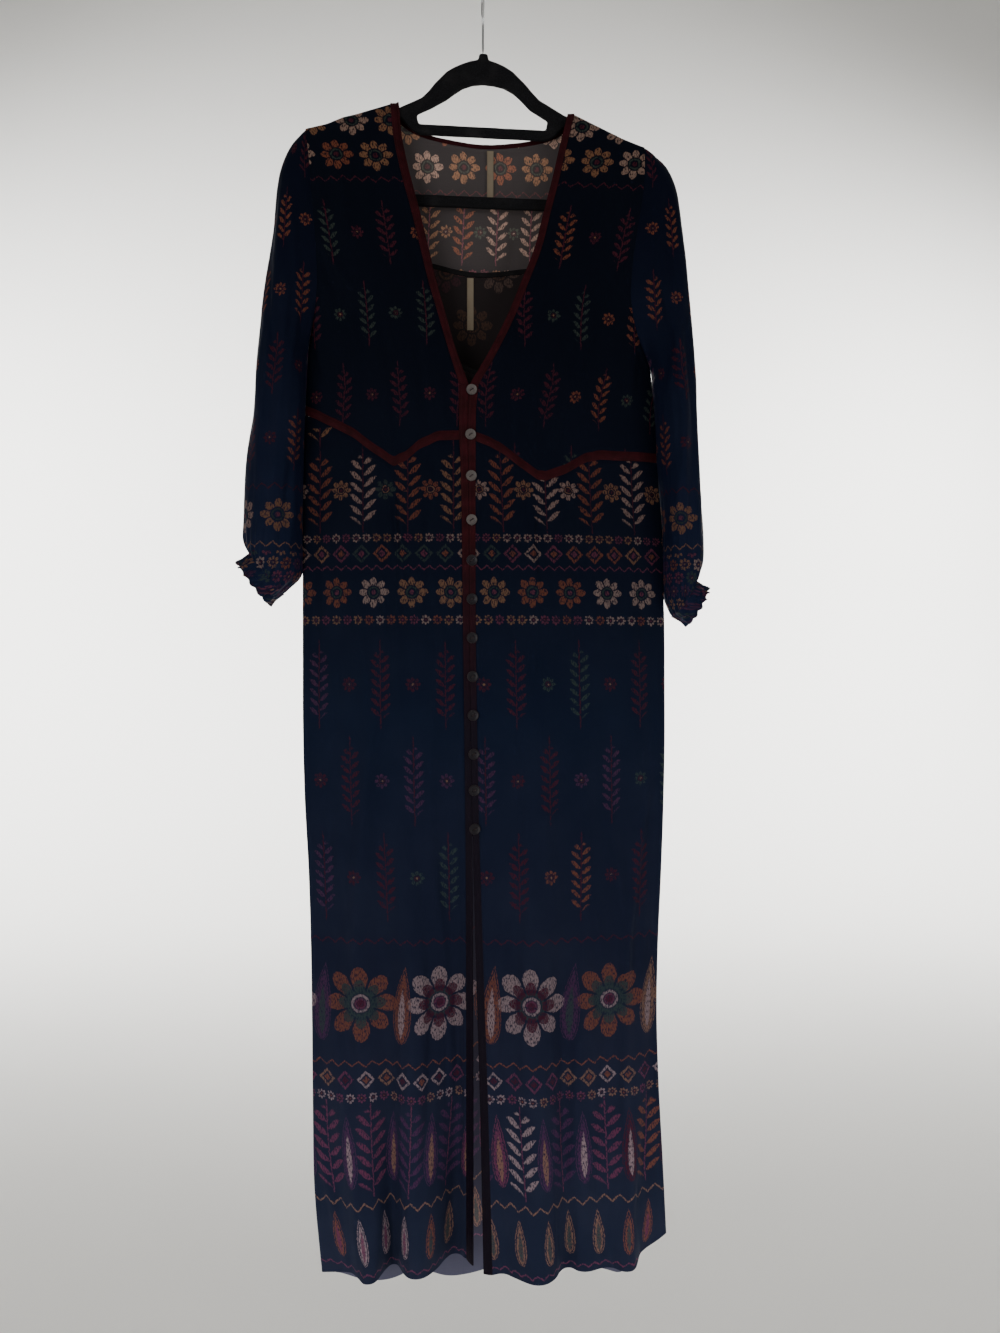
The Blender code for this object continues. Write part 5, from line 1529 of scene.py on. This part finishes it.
# node: outwards, or None for a strip that faces both ways, corners from bottom left round to top left, cell
BORDER_STRIPS = {
    "waist_band_left": (FRONT, ((-206, -514), (-28, -547), (-29, -536), (-205, -503)), (2, 0.9)),
    "waist_band_right": (FRONT, ((-9, -548), (205, -565), (204, -554), (-9, -538)), (2, 0.9)),
    "waist_band_back": (BACK, ((-206, -514), (205, -565), (204, -554), (-205, -503)), (2, 0.9)),
    "neck_binding_left": (FRONT, ((-28, -484), (-17, -484), (-99, -152), (-107, -151)), (0.9, 2)),
    "neck_binding_right": (FRONT, ((-17, -484), (-6, -484), (107, -157), (99, -157)), (0.9, 2)),
    "neck_binding_back": (BACK, ((-108, -151), (108, -157), (102, -157), (-102, -151)), (2, 0.7)),
    "front_binding_left": (FRONT, ((-20, -1497), (-13, -1497), (-17, -484), (-28, -484)), (0.9, 2.4)),
    "front_binding_right": (FRONT, ((-1, -1497), (9, -1497), (-6, -484), (-17, -484)), (0.9, 2.4)),
}
ROLLED_EDGE = 0.85     # how far a strip's edges roll down
STITCH_DIP = 0.18
STITCH_LIES, STITCH_WIDTH = 0.62, 0.16      # shares of a strip's half width
PUCKER_DEPTH = 0.16
LABEL_WAVE, LABEL_CURL, LABEL_HALF = 0.35, 0.25, 3.8
RELIEF_SHARE = {"trim": 1.0, "slip": 0.35}     # the slip's thin strips have less of that relief


def strip_relief(places):
    """Rolled edges, the dip of the stitching and small puckers between stitches."""
    across, along = places[..., 0], places[..., 1]
    share = np.abs(across) / np.abs(across).max()
    depth = -ROLLED_EDGE * share ** 5
    depth -= STITCH_DIP * np.exp(-((share - STITCH_LIES) / STITCH_WIDTH) ** 2)
    pucker = np.sin(along / 3.7 + 1.3 * np.sin(along / 19)) * np.sin(along / 8.3 + 2)
    return depth + PUCKER_DEPTH * pucker * (1 - share ** 4)


def label_relief(places):
    """The tape waves a little, and its cut edges curl."""
    across, along = places[..., 0], places[..., 1]
    return LABEL_WAVE * np.sin(along / 9.0) + LABEL_CURL * (across / LABEL_HALF) ** 2


def make_strip(node, outwards, corners, cell):
    wall, thickness, finish, slot, ending = next(kind for word, kind in STRIP_KINDS.items() if word in node)
    grid = strip_grid(node, wall, outwards, corners, cell)
    places = strip_places(grid, length_of(grid[:, 0]) > length_of(grid[0]))
    if outwards is None:
        outwards = grid - grid.mean(axis=(0, 1))
    relief = label_relief(places) if slot == "label" else strip_relief(places) * RELIEF_SHARE[slot]
    grid = pushed_out(grid, relief, outwards)
    piece = cloth_from(node + ending, grid, places, (finish,), outwards, thickness=thickness)
    dress(piece, node, slot, grid)


for node, strip in BORDER_STRIPS.items():
    make_strip(node, *strip)

# %% [markdown]
# ## Slip and labels
#
# A plain dark slip hangs inside, from two thin straps over the hanger's arms. Its top edge is bound in black,
# and it shows in the V. Each label is a bare loop of cream tape.

# %% Slip
SLIP_CORNERS = ((-190, -1000), (198, -1000), (181, -458), (-187, -446))
SLIP_CELL = (4, 7)
SLIP_HOLD = 12.0       # its creases fade out this near to an edge
# x, z of the start, x, z of the end, half width, depth
SLIP_CREASES = (
    (-60, -360, -52, -620, 8, 0.9), (-22, -350, -16, -560, 9, -0.8),
    (26, -352, 20, -600, 8, 0.9), (66, -360, 56, -640, 9, -0.8),
    (-120, -480, -112, -960, 10, 1), (112, -490, 118, -960, 10, 1),
)
for node, outwards in (("slip_front", FRONT), ("slip_back", BACK)):
    grid = panel_grid(node, SLIP_WALL, outwards, SLIP_CORNERS, SLIP_CELL)
    places = cut_places(grid)
    relief = crease_depth(grid, SLIP_CREASES) * eased(border_distance(grid) / SLIP_HOLD)
    grid = pushed_out(grid, relief, outwards)
    dress(cloth_from(node + "_cloth", grid, places, (slip_cloth,), outwards), node, "slip", grid)

# %% Slip bindings, straps and labels
NARROW_STRIPS = {
    "slip_binding_front": (FRONT, ((-104, -396), (104, -398), (104, -392), (-104, -390)), (2, 0.7)),
    "slip_binding_back": (BACK, ((-104, -334), (104, -335), (104, -329), (-104, -328)), (2, 0.7)),
    "slip_strap_left": (None, ((-101.5, -389.6), (-96.5, -389.6), (-96.5, -327.1), (-101.5, -327.1)), (0.7, 2)),
    "slip_strap_right": (None, ((96.5, -391.6), (101.5, -391.6), (101.5, -328.1), (96.5, -328.1)), (0.7, 2)),
    "neck_label": (FRONT, ((5.2, -259.0), (12.9, -259.0), (12.8, -198.0), (5.1, -198.0)), (0.6, 1.5)),
    "slip_label": (FRONT, ((-18.3, -409.0), (-10.6, -409.0), (-10.6, -348.0), (-18.4, -348.0)), (0.6, 1.5)),
}
for node, strip in NARROW_STRIPS.items():
    make_strip(node, *strip)

# %% [markdown]
# ## Buttons
#
# Each button is a small shell disc with a raised rim, a dished face and two holes. One is modelled, then
# copied twelve times. Dark thread crosses its middle and a thread loop lies round its edge.

# %% One button
BUTTON_RADIUS = 5.9
BUTTON_DEPTH = 2.1
BUTTON_ROUNDING = 0.32
RIM = 1.5
DISH = 0.55
DISH_SLOPE = 1.2       # the dish falls a little more over this width
DISH_FALL = 0.2
HOLE_RADIUS = 0.85
HOLE_FROM_MIDDLE = 1.8
DRILL_LENGTH = 8.0
BUTTON_SLANT = math.radians(35)
STRAND_RADIUS = 0.34
STRAND_PITCH = 0.42
STRAND_HALF = HOLE_FROM_MIDDLE + 0.5        # half the length of a strand
LOOP_RADIUS = 0.3
LOOP_CLEAR = 0.12
UPRIGHT = (math.radians(90), 0, 0)


def along_slant(distance, across=0.0):
    """x and z, in metres, of a point so far along the line of the holes and across it."""
    x = distance * math.cos(BUTTON_SLANT) - across * math.sin(BUTTON_SLANT)
    z = distance * math.sin(BUTTON_SLANT) + across * math.cos(BUTTON_SLANT)
    return x * MM, z * MM


def select_front(piece):
    """Selects the faces of a mesh in edit mode that face the front."""
    bpy.ops.object.mode_set(mode="OBJECT")
    for face in piece.data.polygons:
        face.select = face.normal.dot(FRONT) > 0.99
    bpy.ops.object.mode_set(mode="EDIT")


def inset(thickness, sunk):
    bpy.ops.mesh.inset(thickness=thickness * MM)
    bpy.ops.transform.translate(value=(0, sunk * MM, 0))


def model_button():
    bpy.ops.mesh.primitive_cylinder_add(vertices=48, radius=BUTTON_RADIUS * MM, depth=BUTTON_DEPTH * MM,
                                        rotation=UPRIGHT)
    button = bpy.context.object
    bpy.ops.object.transform_apply()
    bpy.ops.object.mode_set(mode="EDIT")
    bpy.ops.mesh.select_mode(type="FACE")
    bpy.ops.mesh.select_all(action="DESELECT")
    select_front(button)
    inset(RIM, DISH)
    inset(DISH_SLOPE, DISH_FALL)
    bpy.ops.object.mode_set(mode="OBJECT")
    rounding = button.modifiers.new("rounding", "BEVEL")
    rounding.width = BUTTON_ROUNDING * MM
    rounding.segments = 3
    rounding.limit_method = "ANGLE"
    for side in (-1, 1):
        x, z = along_slant(side * HOLE_FROM_MIDDLE)
        bpy.ops.mesh.primitive_cylinder_add(vertices=16, radius=HOLE_RADIUS * MM, depth=DRILL_LENGTH * MM,
                                            location=(x, 0, z), rotation=UPRIGHT)
        drill = bpy.context.object
        cut = button.modifiers.new("hole", "BOOLEAN")
        cut.object = drill
        apply_modifiers(button)
        bpy.data.objects.remove(drill)
    only(button)
    bpy.ops.object.shade_smooth_by_angle(angle=math.radians(35))
    button.data.materials.append(shell)
    return button


def model_thread():
    """Three strands across the holes, and the loop round the edge."""
    parts = []
    for strand in (-1, 0, 1):
        bpy.ops.mesh.primitive_uv_sphere_add(segments=12, ring_count=10, radius=STRAND_RADIUS * MM)
        one = bpy.context.object
        one.scale = (STRAND_HALF / STRAND_RADIUS, 1.0, 0.8)
        one.rotation_euler = (0, -BUTTON_SLANT, 0)
        x, z = along_slant(0, STRAND_PITCH * strand)
        one.location = (x, (-BUTTON_DEPTH / 2 + DISH) * MM, z)
        parts.append(one)
    bpy.ops.mesh.primitive_torus_add(major_radius=(BUTTON_RADIUS + LOOP_CLEAR) * MM,
                                     minor_radius=LOOP_RADIUS * MM, major_segments=48, minor_segments=8,
                                     rotation=UPRIGHT, location=(0, (BUTTON_DEPTH / 2 - LOOP_RADIUS) * MM, 0))
    parts.append(bpy.context.object)
    only(*parts)
    bpy.ops.object.join()
    threads = bpy.context.object
    bpy.ops.object.transform_apply()
    bpy.ops.object.shade_smooth()
    threads.data.materials.append(thread)
    return threads


def middle_of(node):
    low, high = (Vector(corner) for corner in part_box(node))
    return (low + high) / 2


button_model, thread_model = model_button(), model_thread()
button_nodes = sorted(name for name in nodes if name.startswith("button_"))
for node in button_nodes:
    for model, ending in ((button_model, "_shell"), (thread_model, "_thread")):
        piece = model.copy()
        piece.data = model.data.copy()
        piece.name = node + ending
        bpy.context.scene.collection.objects.link(piece)
        only(piece)
        piece.location = middle_of(node)
        bpy.ops.object.transform_apply()
        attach(piece, "root")
        if model is button_model:
            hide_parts(node)
for model in (button_model, thread_model):
    bpy.data.objects.remove(model)
print("buttons:", len(button_nodes))

# %% [markdown]
# ## Hanger
#
# A flat moulded hanger is rounded along every edge and covered in short black flock. Its hook is one bent
# wire.

# %% Hanger
HANGER_CELL = 1.1
HANGER_ROUNDING = 12   # rounds of smoothing along its edges


def copy_of(node, name):
    """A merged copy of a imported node's mesh, to be refined."""
    piece = bpy.data.objects.new(name, nodes[node].data.copy())
    bpy.context.scene.collection.objects.link(piece)
    piece.data.materials.clear()
    edit_all(piece, merge_close)
    return piece


def make_hanger():
    body = copy_of("hanger_body", "hanger_flocked_body")
    even = body.modifiers.new("even mesh", "REMESH")
    even.mode = "VOXEL"
    even.voxel_size = HANGER_CELL * MM
    rounded = body.modifiers.new("rounded edges", "SMOOTH")
    rounded.factor = 0.5
    rounded.iterations = HANGER_ROUNDING
    hook = copy_of("hanger_hook", "hanger_wire_hook")
    finer = hook.modifiers.new("finer", "SUBSURF")
    finer.levels = finer.render_levels = 1
    for piece, node, slot, finish in (
        (body, "hanger_body", "flock", flock),
        (hook, "hanger_hook", "wire", wire),
    ):
        apply_modifiers(piece)
        bpy.ops.object.shade_smooth()
        piece.data.materials.append(finish)
        dress(piece, node, slot)


make_hanger()
